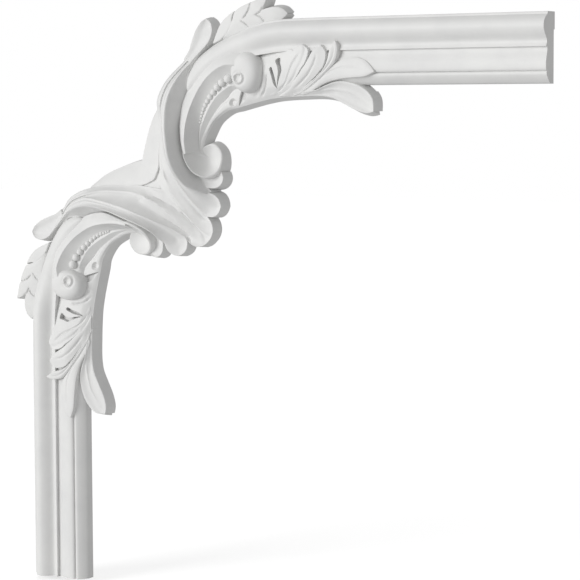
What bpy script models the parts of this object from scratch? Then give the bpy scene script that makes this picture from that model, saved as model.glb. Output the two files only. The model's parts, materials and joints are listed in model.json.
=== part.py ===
"""Moulding corner piece: one casting of two moulded arms that meet in a carved corner.

The carving is drawn in the plane of the wall, in millimetres from the corner where the two
outer edges would meet: along (right), down, and out (away from the wall).  Only the upper
arm is drawn.  The lower arm is its mirror image about the diagonal through the corner.
"""
import math

import bmesh
import bpy
import numpy as np
from mathutils import Matrix, Vector

# Driving dimensions of the mouldings, in millimetres
ARM_LENGTH = 500.0
MOULDING_WIDTH = 57.0
BEAD_WIDTH = 27.3
LIP_HEIGHT = 11.6
BEAD_HEIGHT = 20.9
MID_HEIGHT = 14.8
INNER_EDGE_HEIGHT = 9.7

# The wall bears on the outer strip of each arm, and the rest of its back is cut away a little
REBATE_ALONG = 300.0
REBATE_START = 15.0
REBATE_DEPTH = 1.9

# The fixing point lies on the back, on the diagonal, this far along and down from the corner
FIXING = 155.0

# Every wall leans outward by this share of its height, so that the casting leaves its mould
DRAFT = 0.2
LEAF_DRAFT = 0.3
# The shapes run this far behind the wall plane before the back is cut level
FOOT = 4.0
# The cuts reach this far out, and their walls lean inward a little toward the bottom
SLOT_TOP = 40.0
SLOT_DRAFT = -0.004

BEAD_COUNT = 12
BEAD_RADIUS = 3.8
BEAD_SHRINK = 0.9
EYE_RADIUS = 4.6

PIT_CENTRE = (215.2, 70.9, 13.2)
PIT_RADIUS = 3.3
PIT_FLOOR_RADIUS = 1.6
PIT_DEPTH = 6.0

# Faces along a rail between two of its points, across a flute, and round the small shapes
STEPS = 1
SHELL_STEPS = 2
FLUTE_PARTS = 3
BOWL_RINGS = 3
BOWL_POWER = 2.2
BEAD_SIDES = 6
BEAD_RINGS = 4
PIT_SIDES = 8

# Points nearer than this are one point: first in metres within a shape, then at the diagonal
WELD = 2e-6
SEAM_WELD = 1e-5
# Half the width of the block that cuts the casting at the diagonal
WEDGE_REACH = 400.0

SHARP_ANGLE = math.radians(38)
DIAGONAL_TURN = math.radians(45)
FACE_OUT = math.radians(90)
MM = 0.001
SOLVER = "EXACT"
WHITE = (0.80, 0.80, 0.79, 1.0)


def place(point):
    """World position of a point given as along, down and out."""
    along, down, out = point
    return Vector(((along - FIXING) * MM, -out * MM, (FIXING - down) * MM))


def smooth_curve(points, steps, closed=False):
    """Points on the curve that runs smoothly through the given ones."""
    points = np.array(points, float)
    count = len(points)
    spans = count if closed else count - 1
    result = []
    for span in range(spans):
        if closed:
            a, b, c, d = (points[(span + k) % count] for k in (-1, 0, 1, 2))
        else:
            a, b, c, d = (points[min(max(span + k, 0), count - 1)] for k in (-1, 0, 1, 2))
        for step in range(steps):
            t = step / steps
            result.append(0.5 * (2 * b + (c - a) * t + (2 * a - 5 * b + 4 * c - d) * t ** 2
                                 + (3 * b - a - 3 * c + d) * t ** 3))
    if not closed:
        result.append(points[-1])
    return np.array(result)


def outward(loop):
    """Unit normals in the wall plane, pointing out of a closed loop of points."""
    before = np.roll(loop, 1, axis=0)
    after = np.roll(loop, -1, axis=0)
    tangent = (after - before)[:, :2]
    length = np.maximum(np.linalg.norm(tangent, axis=1, keepdims=True), 1e-9)
    normal = np.stack([tangent[:, 1], -tangent[:, 0]], axis=1) / length
    area = np.sum(loop[:, 0] * after[:, 1] - loop[:, 1] * after[:, 0])
    return normal * np.sign(area)


def solid(name, grid, closed=False, draft=DRAFT):
    """A closed solid: the grid is its face, and walls drop from the grid's edge to the foot.

    A closed grid runs round a centre: its first column is the edge and its last the centre.
    """
    grid = np.array(grid, float)
    rows, columns = grid.shape[:2]
    base = grid.copy()
    edge = [(row, 0) for row in range(rows)]
    if not closed:
        edge += [(rows - 1, column) for column in range(1, columns)]
        edge += [(row, columns - 1) for row in range(rows - 2, -1, -1)]
        edge += [(0, column) for column in range(columns - 2, 0, -1)]
    loop = np.array([grid[spot] for spot in edge])
    normals = outward(loop)
    for (row, column), point, normal in zip(edge, loop, normals):
        base[row, column, :2] = point[:2] + normal * draft * (point[2] + FOOT)
    base[:, :, 2] = -FOOT

    mesh = bmesh.new()
    top = [[mesh.verts.new(place(grid[r, c])) for c in range(columns)] for r in range(rows)]
    low = [[mesh.verts.new(place(base[r, c])) for c in range(columns)] for r in range(rows)]
    for row in range(rows if closed else rows - 1):
        nxt = (row + 1) % rows
        for column in range(columns - 1):
            mesh.faces.new((top[row][column], top[nxt][column],
                            top[nxt][column + 1], top[row][column + 1]))
            mesh.faces.new((low[row][column + 1], low[nxt][column + 1],
                            low[nxt][column], low[row][column]))
    for (r0, c0), (r1, c1) in zip(edge, edge[1:] + edge[:1]):
        mesh.faces.new((top[r0][c0], low[r0][c0], low[r1][c1], top[r1][c1]))
    bmesh.ops.remove_doubles(mesh, verts=mesh.verts, dist=WELD)
    bmesh.ops.dissolve_degenerate(mesh, edges=mesh.edges, dist=WELD / 2)
    bmesh.ops.triangulate(mesh, faces=mesh.faces)
    bmesh.ops.recalc_face_normals(mesh, faces=mesh.faces)
    data = bpy.data.meshes.new(name)
    mesh.to_mesh(data)
    mesh.free()
    piece = bpy.data.objects.new(name, data)
    shapes.objects.link(piece)
    return piece


def across(rails, steps, gaps, bulges=None):
    """A grid over rails side by side.

    Each gap between two rails has a number of parts and a depth by which it is hollowed.
    Bulges push the gaps of the last rows outward, so that the sheet ends in scallops.
    """
    lines = [smooth_curve(rail, steps) for rail in rails]
    rows = len(lines[0])
    grid = []
    for row in range(rows):
        line = [lines[0][row]]
        swell = max(0.0, 1 - (rows - 1 - row) / (2.0 * steps))
        for gap in range(len(lines) - 1):
            parts, depth = gaps[gap]
            start, end = lines[gap][row], lines[gap + 1][row]
            side = np.array([start[1] - end[1], end[0] - start[0], 0.0])
            side /= max(np.linalg.norm(side), 1e-9)
            for part in range(1, parts + 1):
                t = part / parts
                arch = 4 * t * (1 - t)
                point = start * (1 - t) + end * t
                point[2] -= depth * arch * (1 - swell ** 3)
                if bulges:
                    point += side * bulges[gap] * arch * swell
                line.append(point)
        grid.append(line)
    return grid


def blade(name, left, right, section):
    """A leaf between two edges that meet at its tip.

    The section lists (share of the way across, lift); lifts shrink where the leaf narrows.
    """
    left, right = (smooth_curve(edge, STEPS) for edge in (left, right))
    widths = np.linalg.norm((right - left)[:, :2], axis=1)
    widest = widths.max()
    grid = []
    for start, end, width in zip(left, right, widths):
        fade = min(1.0, 1.4 * width / widest)
        row = []
        for share, lift in section:
            point = start * (1 - share) + end * share
            point[2] += lift * fade
            row.append(point)
        grid.append(row)
    return solid(name, grid)


def bowl(name, wall, rim, centre):
    """A dish inside a closed rim, which a closed wall carries."""
    wall = smooth_curve(wall, STEPS, closed=True)
    rim = smooth_curve(rim, STEPS, closed=True)
    centre = np.array(centre, float)
    grid = []
    for outside, edge in zip(wall, rim):
        row = [outside, edge]
        for ring in range(1, BOWL_RINGS + 1):
            t = 1 - ring / BOWL_RINGS
            point = centre + (edge - centre) * t
            point[2] = centre[2] + (edge[2] - centre[2]) * t ** BOWL_POWER
            row.append(point)
        grid.append(row)
    return solid(name, grid, closed=True)


def moulding():
    """The straight mouldings: the outer bead, which bends into the carving, and the panel."""
    bead = [(0.0, LIP_HEIGHT - 0.5), (0.5, LIP_HEIGHT), (2.8, LIP_HEIGHT), (4.2, 15.6),
            (6.2, 18.7), (8.2, 20.3), (10.6, BEAD_HEIGHT), (13.0, 20.4), (15.4, 19.2),
            (18.2, 17.8), (20.8, 16.0), (23.0, 13.9), (25.0, 13.0), (BEAD_WIDTH, 13.2)]
    band = [12.0, 13.2, 15.2, 17.2, 18.8, 20.0, 20.9, 21.5, 21.8, 21.9, 21.7, 21.4, 20.9, 20.3]
    outer = [(ARM_LENGTH, 0), (300, 0), (262, 0.8), (242, 4.6), (222, 10.5), (205, 17.5),
             (191, 25.2), (178.5, 34.5), (172.0, 44.0), (170.4, 52.0), (172.2, 58.5)]
    inner = [(ARM_LENGTH, BEAD_WIDTH), (300, BEAD_WIDTH), (266, BEAD_WIDTH),
             (250, 29.0), (236, 31.0), (219, 32.0), (204, 37.5), (191.5, 46.5), (181, 56.0),
             (176, 61.0), (173.6, 62.2)]
    blends = [0, 0, 0, 0.25, 0.6, 0.85, 1.0, 1.0, 1.0, 1.0, 1.0]
    drops = [0, 0, 0, 0, 0, 0, 0, 0, 0.5, 1.5, 3.5]
    rails = []
    for (offset, height), round_height in zip(bead, band):
        share = offset / BEAD_WIDTH
        rail = []
        for start, end, blend, drop in zip(outer, inner, blends, drops):
            along = start[0] * (1 - share) + end[0] * share
            down = start[1] * (1 - share) + end[1] * share
            rail.append((along, down, height * (1 - blend) + round_height * blend - drop))
        rails.append(rail)
    solid("bead", across(rails, STEPS, [(1, 0.0)] * (len(rails) - 1)), draft=0.0)

    panel = [(BEAD_WIDTH - 2.0, 10.3), (BEAD_WIDTH + 0.3, 10.3), (32.6, 10.3), (34.2, 11.4),
             (36.4, 13.5), (38.6, 14.5), (41.0, MID_HEIGHT), (43.4, MID_HEIGHT), (45.2, 14.0),
             (46.0, 13.2), (46.2, 11.5), (47.4, 12.1), (49.6, 12.2), (52.8, 11.7), (55.4, 10.7),
             (MOULDING_WIDTH, INNER_EDGE_HEIGHT)]
    rails = [[(ARM_LENGTH, down, out), (330, down, out), (236, down, out)] for down, out in panel]
    solid("panel", across(rails, 1, [(1, 0.0)] * (len(rails) - 1)), draft=0.0)


def shell():
    """The rolled scroll: flutes fan from its rim to the scalloped lobes, a wall drops inside."""
    edge = [(175.5, 16, 11), (170.8, 26, 11.4), (164.6, 36.5, 13.5), (157.2, 47.5, 21),
            (151.8, 57.5, 25.5), (147.3, 69, 26.6), (143.6, 84, 19.4), (143, 103, 17.6),
            (142.3, 119, 16.7), (144, 135, 16.8), (147.3, 149.7, 17.8), (163.8, 166.2, 18.2),
            (178.8, 181.2, 12.4), (186, 188.6, 11.5), (189.2, 192, 13.2)]
    first = [(179, 17, 11.6), (174, 27.5, 12.6), (167.3, 38, 15.5), (160.6, 48.2, 22.5),
             (155.4, 58.2, 27.2), (151.2, 71, 28.8), (149, 86.5, 26), (149.4, 104, 24.5),
             (150.4, 120, 24.2), (154.5, 133.5, 24.6), (161, 148.5, 24), (171.5, 160.8, 21),
             (181.5, 167, 16.8), (186.2, 169, 14.4), (188.3, 169.8, 13.7)]
    second = [(183.5, 18, 11.8), (178, 29.5, 13.6), (169.6, 39.4, 17), (163.8, 48.8, 23.8),
              (159.4, 59.2, 29.2), (156, 72.7, 31.6), (155.4, 88.5, 33), (157, 104.7, 33.8),
              (160, 119, 34.6), (165, 131.5, 33.5), (172, 144, 29), (180.3, 154, 22),
              (190, 159.2, 14.2), (199.3, 159.5, 12.5), (202.8, 159.3, 14)]
    rim = [(189.8, 20, 12.6), (182.5, 28.2, 14.2), (172.6, 39.2, 18.5), (167, 48.8, 24.8),
           (163.3, 60, 31.3), (160.4, 74, 34.6), (161.2, 89.6, 38), (164.3, 105, 41),
           (168.3, 118.5, 43), (172.9, 130.5, 41), (178.6, 140.2, 35.5), (183, 144, 30.5),
           (187, 146.2, 25.5), (189.8, 147.3, 21), (191.8, 148, 17.5)]
    brow = [(along + 0.9, down - 0.5, out - 0.9) for along, down, out in rim]
    foot = [(191.2, 21, 9), (184.2, 29.8, 10), (174.2, 40.8, 14), (171.8, 49.4, 16.5),
            (171.4, 60, 16), (169.0, 74, 16), (168.0, 89.5, 15), (171, 104.5, 14),
            (176.0, 116.5, 13), (180.5, 127.0, 12), (184.5, 135.5, 13), (187.5, 140.3, 14),
            (190, 143.5, 14.5), (192, 145.3, 14.5), (193.5, 146.6, 14.5)]
    gaps = [(FLUTE_PARTS, 1.0), (FLUTE_PARTS, 1.4), (FLUTE_PARTS, 1.4), (1, 0.0), (2, 1.4)]
    scallops = [5.2, 4.2, 3.6, 0.0, 0.0]
    rails = [edge, first, second, rim, brow, foot]
    solid("shell", across(rails, SHELL_STEPS, gaps, scallops))


def inner_lobe():
    """The small dished lobe that shows between the volute and the shell."""
    blade("inner_lobe",
          [(176, 134, 16), (186, 142.5, 15.4), (195.5, 144, 14.2), (201.5, 141, 13.6),
           (203.7, 135.8, 13.4)],
          [(178, 124, 16), (186, 128, 15.5), (194, 126.6, 14.5), (200.5, 129, 13.8),
           (203.7, 135.8, 13.4)],
          [(0.0, 0.0), (0.25, -1.6), (0.5, -2.2), (0.75, -1.6), (1.0, 0.0)])


def corner_band():
    """The raised outer band that carries the mouldings' outer edges round the corner."""
    outline = [(145.0, 68, 14), (136.9, 79, 13.2), (131.5, 88.5, 12.3), (127.0, 100, 11.7),
               (123.2, 112, 11.1), (121.0, 121.0, 11), (119.2, 130, 11)]
    inside = [(148.5, 69, 18), (144.6, 79, 18.0), (144.2, 89, 17.3), (143.8, 102, 17.2),
              (142.4, 117.5, 17.5), (140.0, 131.5, 17.6), (137.6, 144, 17.6)]
    solid("corner_band", across([outline, inside], STEPS, [(2, -0.7)]))
    facet_out = [(141.5, 104, 14.6), (139, 124, 15.0), (134, 139, 15.0)]
    facet_in = [(145, 106, 15.4), (146.5, 130, 16.3), (151, 152, 18.0)]
    solid("facet", across([facet_out, facet_in], STEPS, [(1, 0.0)]))


def ribbon():
    """The inner scroll: a lit ribbon, the channel below it and the lip beyond the beads."""
    outer = [(231, 31, 20.5), (224, 29.6, 21), (215, 30, 20.8), (203, 34, 21),
             (191, 43, 20.4), (180, 53, 19), (172.3, 61, 17.6), (168.7, 71, 19.3),
             (166.9, 82, 20.4), (168, 92, 23.5), (171.2, 104.7, 26.8), (174.2, 114.0, 28.2)]
    edge = [(229, 41, 25.5), (223.5, 39.3, 27.6), (216, 39.2, 28), (207, 42.5, 27),
            (197.5, 48.5, 25.5), (189.3, 57, 24.5), (184, 65, 24.3), (180, 73.5, 25),
            (177.7, 82, 26.8), (176.2, 92, 28.4), (175.8, 103, 29), (177.2, 114, 29)]
    floor = [(227, 50, 18), (221, 50, 18.3), (214.4, 51, 17.6), (206, 55.5, 17.0),
             (198.5, 62.5, 16.4), (192.5, 69, 16.0), (188.5, 76, 15.6), (185.8, 81.5, 15.4),
             (183.5, 88, 15), (182, 95, 14.5), (181.3, 103, 13.8), (181.4, 113, 13.2)]
    lip = [(226, 56.5, 17), (220, 56.5, 17.2), (215, 57, 17.5), (208, 60.7, 17.5),
           (201, 66, 17.3), (195.5, 72.5, 17.0), (191.3, 79, 16.6), (188, 85, 16.2),
           (185, 91, 15.6), (183, 98, 15), (181.9, 105, 14.3), (181.9, 113, 12.9)]
    low = [(226, 60.5, 12), (220, 60.5, 12), (215, 61.5, 12), (210, 66, 12.0),
           (203.5, 71.5, 12.0), (198, 77.8, 12.0), (194, 83.2, 12.0), (190.3, 88.6, 12.1),
           (187, 94, 12.3), (184.6, 100, 12.5), (182.9, 106.5, 12.6), (182.5, 113, 12.4)]
    gaps = [(1, 0.0), (2, 1.2), (1, 0.0), (1, 0.0)]
    solid("ribbon", across([outer, edge, floor, lip, low], STEPS, gaps), draft=0.0)


def volute():
    """The dished eye at the scroll's foot, whose rim falls as it winds round."""
    rim = [(182.8, 112.6, 12.8), (181.3, 112.8, 15.5), (179.3, 113.2, 21), (177.2, 114, 28.8),
           (179.6, 121, 28.8), (184, 127.5, 26), (190, 131.8, 22), (196.3, 131.8, 18.5),
           (201, 127.5, 15.3), (202.6, 120.8, 13), (201.3, 114.3, 11.2), (197.5, 109.8, 10.6),
           (192.5, 108, 10.6), (187.8, 109.2, 11.2), (184.3, 111.3, 12.3)]
    wall = [(182.3, 111.2, 12.6), (180.8, 111.3, 15.8), (178.7, 111.6, 21.3), (174.2, 112.8, 28.2),
            (177.0, 122.3, 28), (182, 130, 25.3), (189.5, 134.4, 21), (197.2, 134.0, 17.5),
            (203, 129, 14.3), (204.6, 121.2, 12.2), (203.3, 113.5, 10.8), (198.4, 108, 10.2),
            (192.4, 106.1, 10.2), (187, 107.6, 10.9), (183.5, 110.2, 12)]
    bowl("volute", wall, rim, (190.5, 119.8, 8.6))


def curl():
    """The ball that the ribbon curls into, with its small ringed eye."""
    wall = [(242.4, 47, 13), (239, 56, 11.5), (232.5, 62.2, 11.5), (226, 61.8, 12.5),
            (221.3, 58, 14), (219.6, 52.5, 16.5), (221, 46.5, 18.5), (222.5, 41.5, 20.5),
            (218.6, 35.6, 22.5), (221.5, 29.6, 20.5), (229, 28.3, 18.8), (236, 30.5, 16.5),
            (241, 37.5, 14.5)]
    crest = [(236.8, 47, 25.5), (234.6, 53, 24.7), (230.8, 57.2, 23.8), (226.5, 57.5, 23.2),
             (223.6, 55, 23), (222.8, 51.4, 23.6), (223.8, 46.6, 25.2), (224.6, 42.8, 26.8),
             (223.8, 38.2, 27.6), (225.5, 34, 27.2), (229, 33.3, 27.2), (233.2, 35.6, 27),
             (236.3, 40.2, 26.6)]
    eye = np.array([228.6, 50.4, 25.0])
    ring = []
    for point in crest:
        aim = np.array([point[0] - eye[0], point[1] - eye[1], 0.0])
        ring.append(eye + aim * EYE_RADIUS / np.linalg.norm(aim))
    wall, crest, ring = (smooth_curve(line, STEPS, closed=True) for line in (wall, crest, ring))
    grid = []
    for outside, top, inside in zip(wall, crest, ring):
        shoulder = outside * 0.35 + top * 0.65
        shoulder[2] = outside[2] * 0.22 + top[2] * 0.78
        hollow = (top + inside) * 0.5 - np.array([0, 0, 1.0])
        inner = inside * 0.45 + eye * 0.55 - np.array([0, 0, 2.2])
        grid.append([outside, shoulder, top, hollow, inside, inner, eye - np.array([0, 0, 2.6])])
    solid("curl", grid, closed=True)


def beads():
    """A string of beads that shrink along the channel."""
    path = smooth_curve([(214.3, 50.9, 19.2), (206.6, 54.9, 18.6), (198.6, 62.2, 17.6),
                         (192.0, 70.0, 16.8), (187.6, 77.0, 16.2), (183.9, 87.4, 15.6)], 40)
    lengths = np.concatenate([[0], np.cumsum(np.linalg.norm(np.diff(path, axis=0), axis=1))])
    radii = [BEAD_RADIUS * BEAD_SHRINK ** k for k in range(BEAD_COUNT)]
    spans = [0.0]
    for small, large in zip(radii[1:], radii):
        spans.append(spans[-1] + small + large)
    for radius, span in zip(radii, spans):
        at = span * lengths[-1] / spans[-1]
        centre = [np.interp(at, lengths, path[:, axis]) for axis in range(3)]
        mesh = bmesh.new()
        bmesh.ops.create_uvsphere(mesh, u_segments=BEAD_SIDES, v_segments=BEAD_RINGS,
                                  radius=radius * MM)
        bmesh.ops.rotate(mesh, verts=mesh.verts, matrix=Matrix.Rotation(FACE_OUT, 3, "X"),
                         cent=(0, 0, 0))
        bmesh.ops.translate(mesh, verts=mesh.verts, vec=place(centre))
        data = bpy.data.meshes.new("bead_ball")
        mesh.to_mesh(data)
        mesh.free()
        shapes.objects.link(bpy.data.objects.new("bead_ball", data))


def leaf_body():
    """The long leaf's own surface, from the volute to the roots of its leaflets."""
    inside = [(183.5, 114, 12.2), (185.3, 104.5, 12), (188.7, 97.2, 11.5), (195.7, 86.3, 11),
              (207.8, 77.8, 11), (219, 75, 11.2), (231, 72, 11.2), (243, 69.2, 11.3),
              (256, 66.9, 11.5), (270, 65.8, 11.6), (281, 65.4, 11.6), (291, 65.1, 11.6),
              (300, 64.9, 11.4)]
    low = [(182.9, 113.6, 12.5), (184.3, 104.2, 12.6), (187.6, 97.3, 12.4), (194.3, 86.3, 12.4),
           (205, 76.4, 12.7), (215.5, 71.5, 13.0), (229, 66, 14.0), (242, 62, 15.2),
           (255, 58, 16.6), (268, 57, 17.2), (280, 57.5, 17), (290, 58, 16),
           (300, 58.5, 14.5)]
    high = [(182.3, 113.3, 12.4), (183.0, 103.8, 12.8), (186.2, 97.4, 12.6), (192.6, 86.3, 12.4),
            (202.3, 75.2, 12.4), (212.5, 67.5, 12.6), (227, 54, 14.6), (240.5, 47, 15.4),
            (253, 43.5, 16.6), (266, 42, 18.2), (278, 44, 19.2), (289, 49, 19),
            (302, 51.5, 17.4)]
    upper = [(181.6, 113, 12), (181.8, 103.5, 12.2), (185, 97.5, 12.2), (191.3, 86.3, 11.8),
             (200.3, 74.0, 11.6), (210.6, 64.8, 11.6), (225, 44, 12.0), (241, 33, 11.2),
             (252, 30, 11.6), (265, 28.2, 13), (277, 30, 16.5), (288, 42.5, 19.4),
             (303.5, 46.8, 19.2)]
    rails = [inside, low, high, upper]
    body = solid("leaf_body", across(rails, STEPS, [(1, 0.0)] * 3), draft=LEAF_DRAFT)
    for cut in carved_cuts():
        combine(body, "DIFFERENCE", cut)


def leaflets():
    """Leaflets that sweep from the long leaf over the moulding, and its two large tips."""
    fold = [(0.0, 0.0), (0.3, 0.7), (0.7, 0.7), (1.0, 0.0)]
    first_left = [(249, 64.5, 13.2), (258, 61, 15), (264.5, 56.5, 17.2), (269.2, 50, 18.8),
                  (272.6, 43, 19.7), (275.0, 36, 19.8), (277.0, 29.6, 19.6), (280.7, 25.2, 19.4),
                  (286, 23.5, 19.4)]
    first_right = [(260, 65.0, 12.6), (270, 59.6, 16), (277, 53, 18.9), (281.8, 47.9, 20.7),
                   (285, 43.4, 21.7), (288.9, 38.5, 21.6), (291, 33, 20.8), (291.2, 27.5, 20),
                   (286, 23.5, 19.4)]
    blade("leaflet_first", first_left, first_right, fold)
    second_left = [(260, 65.4, 12.6), (269.6, 60.4, 15.6), (276.6, 54, 18.5), (282.6, 48.6, 20.5),
                   (287.4, 43.4, 21.9), (290.8, 38.5, 21.6), (293.6, 33.5, 20.8), (296.8, 28, 20),
                   (303, 24.2, 19.5)]
    second_right = [(274, 64.8, 12.8), (283, 59.8, 15.6), (291, 54.2, 18.3), (297.5, 49.7, 20),
                    (302, 45.6, 21), (305.8, 41.5, 21), (307.6, 36, 20.5), (307.6, 29.5, 20),
                    (303, 24.2, 19.5)]
    blade("leaflet_second", second_left, second_right, fold)
    third_left = [(274, 65.0, 12.8), (282.8, 60.6, 15.3), (291.3, 55.2, 18), (299, 50.5, 19.8),
                  (304.4, 45.8, 20.8), (308.3, 41, 21), (310.9, 35, 20.9), (312.6, 28, 20.6),
                  (317, 20.9, 20.2)]
    third_right = [(283, 62.5, 14.8), (291, 58, 16.8), (299.5, 52.6, 18.6), (307, 46.8, 19.7),
                   (313, 41.4, 20), (316.6, 36.5, 20.1), (318.4, 30.5, 20.2), (318.5, 25, 20.2),
                   (317, 20.9, 20.2)]
    blade("leaflet_third", third_left, third_right, fold)

    upper_left = [(280, 63.5, 13.8), (291, 58, 16.0), (301, 52.0, 18), (309, 45.6, 18.9),
                  (316, 40.0, 18.4), (323, 36.6, 17.8), (334, 34.6, 17.4), (345, 38.4, 18.4),
                  (352.2, 46, 19.6)]
    upper_right = [(284, 64.2, 13.8), (291.5, 61.9, 15.5), (298.5, 58.3, 17),
                   (306.5, 54.6, 17.9), (316, 52.0, 18.6), (326, 50.7, 19.2), (336, 50.1, 19.7),
                   (345, 49.2, 19.9), (352.2, 46, 19.6)]
    blade("tip_upper", upper_left, upper_right,
          [(0.0, 0.0), (0.25, 0.2), (0.5, 0.9), (0.8, 0.1), (1.0, 0.0)])
    lower_left = [(272, 63.8, 13.6), (285, 62.4, 15.2), (297.5, 60.8, 16.6), (305.5, 57.2, 16),
                  (316.6, 53.8, 14.6), (329.7, 55.6, 13.2), (340.5, 60.8, 12.3),
                  (347, 68.5, 11.9), (347.6, 78.3, 11.5)]
    lower_right = [(272, 65.8, 12), (285, 65.3, 12.2), (296, 65.2, 12.2), (304, 65.8, 12),
                   (312, 67.5, 11.9), (322, 72.2, 11.8), (332, 77, 11.6), (341, 79.4, 11.5),
                   (347.6, 78.3, 11.5)]
    blade("tip_lower", lower_left, lower_right,
          [(0.0, 0.0), (0.15, -0.9), (0.45, -1.2), (0.8, -1.2), (1.0, 0.0)])


def laurel():
    """The small overlapping leaves outside the bead."""
    flat = [(0.0, 0.0), (0.2, 0.5), (0.8, 0.5), (1.0, 0.0)]
    blade("laurel_low",
          [(195.3, 20, 14), (197, 12, 13.5), (200.5, 3.5, 13.2), (205, -1.5, 13),
           (210, -5, 12.8)],
          [(203.5, 17, 14.5), (208.0, 9.5, 14.2), (210.8, 3, 14), (210.8, -2, 13.5),
           (210, -5, 12.8)], flat)
    blade("laurel_left",
          [(205, 17, 14.3), (210.3, 9, 14.3), (212.4, 2, 14.2), (214.6, -7.2, 13.6),
           (221, -11.6, 13.2), (228.6, -13.9, 13)],
          [(213, 13.2, 15), (219, 8, 15), (222.8, 1.6, 15), (226.6, -5.4, 14.4),
           (228.6, -10, 13.7), (228.6, -13.9, 13)], flat)
    blade("laurel_top",
          [(219, 8, 14.8), (223.5, 0, 14.8), (227.0, -6, 14.6), (232, -14.2, 13.8),
           (241, -17.2, 12.7), (250, -19.2, 12)],
          [(228, 4, 15), (235.5, -3.8, 14.6), (241, -7.5, 14.2), (245.8, -10.8, 13.5),
           (249.2, -14.8, 12.7), (250, -19.2, 12)], flat)
    blade("laurel_end",
          [(228, 3, 14.2), (236.5, -4, 14.2), (243, -7.6, 13.8), (252, -10, 12.9),
           (261, -8.6, 11), (266.4, -4.2, 9.6)],
          [(231, 7.2, 14.2), (240, 5.3, 14.1), (247, 4.0, 13.4), (256, 2.0, 12.2),
           (263, -1.2, 10.6), (266.4, -4.2, 9.6)], flat)
    blade("laurel_front",
          [(206, 17.5, 15), (215, 9.8, 15.6), (222.5, 2.0, 15.8), (233, -2.6, 15.4),
           (241.5, -0.9, 14.8), (245.2, 3.6, 14.2)],
          [(207, 17.8, 15), (217.5, 12.2, 15.6), (226, 9.3, 15.5), (234, 7.2, 15.1),
           (241, 5.5, 14.6), (245.2, 3.6, 14.2)], flat)


def spoon_leaf():
    """The dished leaf at the upper end of the rolled scroll."""
    blade("spoon_leaf",
          [(166.5, 33.5, 13.5), (170.5, 26.5, 11.8), (173.2, 19, 11.4), (175.8, 12, 11.3),
           (179, 6.4, 11.2), (183, 1.8, 11), (187.2, -0.4, 10.8)],
          [(174, 36.5, 16), (182, 28.2, 14.2), (190.0, 19.6, 12.8), (193.1, 13, 12.3),
           (193.5, 7.6, 11.9), (191.6, 2.6, 11.4), (187.2, -0.4, 10.8)],
          [(0.0, 0.0), (0.35, -2.2), (0.65, -2.4), (1.0, 0.0)])


def as_cutter(piece):
    """Move a piece to the cutters, where it shows only as a wire and isn't rendered."""
    for collection in list(piece.users_collection):
        collection.objects.unlink(piece)
    cutters.objects.link(piece)
    piece.hide_render = True
    piece.display_type = "WIRE"
    return piece


def slot(name, line, half_width, bottom):
    """A tapered cut along a line, from the bottom outward."""
    path = smooth_curve([(*point, 0.0) for point in line], STEPS)
    count = len(path)
    grid = []
    for row, point in enumerate(path):
        ahead = path[min(row + 1, count - 1)] - path[max(row - 1, 0)]
        side = np.array([ahead[1], -ahead[0]]) / np.linalg.norm(ahead[:2])
        width = half_width * math.sin(math.pi * (0.1 + 0.8 * row / (count - 1)))
        grid.append([(*(point[:2] + side * width * v), SLOT_TOP) for v in (-1, 1)])
    piece = solid(name, grid, draft=SLOT_DRAFT)
    for vertex in piece.data.vertices:
        if vertex.co.y > 0:
            vertex.co.y = -bottom * MM
    return as_cutter(piece)


def carved_cuts():
    """The pit, the clefts and the eye that are sunk into the long leaf."""
    bpy.ops.mesh.primitive_cone_add(vertices=PIT_SIDES, radius1=PIT_FLOOR_RADIUS * MM,
                                    radius2=PIT_RADIUS * MM, depth=PIT_DEPTH * MM,
                                    location=place(PIT_CENTRE), rotation=(FACE_OUT, 0, 0))
    pit = bpy.context.object
    pit.name = "leaf_pit"
    return [as_cutter(pit),
            slot("cleft", [(227, 60), (225.5, 65), (224, 69.5), (222.3, 74)], 1.7, 11),
            slot("fold", [(249.2, 45.3), (248.1, 52.2), (245.3, 60.1), (239.8, 67.2)],
                 1.15, 13.3),
            slot("eye_opening", [(259.6, 35.6), (257.4, 42), (257.6, 49), (259, 56)],
                 3.3, 14.4)]


def core():
    """A low plate under the carving, so that no gap between its shapes runs through."""
    outer = [(262, 8, 9), (235, 14, 9), (210, 22, 9), (185, 36, 9), (165, 48, 9), (152, 66, 9),
             (140, 88, 9), (130, 112, 9), (126, 134, 9)]
    inner = [(262, 60, 9), (238, 64, 9), (215, 71, 9), (198, 78, 9), (190, 90, 9), (184, 108, 9),
             (196, 130, 7), (188, 160, 9), (180, 186, 9)]
    solid("core", across([outer, inner], STEPS, [(1, 0.0)]), draft=0.0)


def block(name, low, high):
    """A box between two corners given as along, down and out."""
    a, b = place(low), place(high)
    bpy.ops.mesh.primitive_cube_add(size=1.0, location=(a + b) / 2)
    piece = bpy.context.object
    piece.name = name
    piece.scale = [abs(q - p) for p, q in zip(a, b)]
    bpy.ops.object.transform_apply(location=False, rotation=False, scale=True)
    return as_cutter(piece)


def combine(piece, operation, other=None, group=None):
    """Cut the piece by another solid, or join it with a collection of solids."""
    modifier = piece.modifiers.new(operation.lower(), "BOOLEAN")
    modifier.operation = operation
    modifier.solver = SOLVER
    if group:
        modifier.operand_type = "COLLECTION"
        modifier.collection = group
    else:
        modifier.object = other
    bpy.context.view_layer.objects.active = piece
    bpy.ops.object.modifier_apply(modifier=modifier.name)


def clear_scene():
    """Remove the objects that the scene holds."""
    for thing in list(bpy.data.objects):
        bpy.data.objects.remove(thing, do_unlink=True)


def new_collection(name):
    """A collection under the scene."""
    collection = bpy.data.collections.new(name)
    bpy.context.scene.collection.children.link(collection)
    return collection


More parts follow.
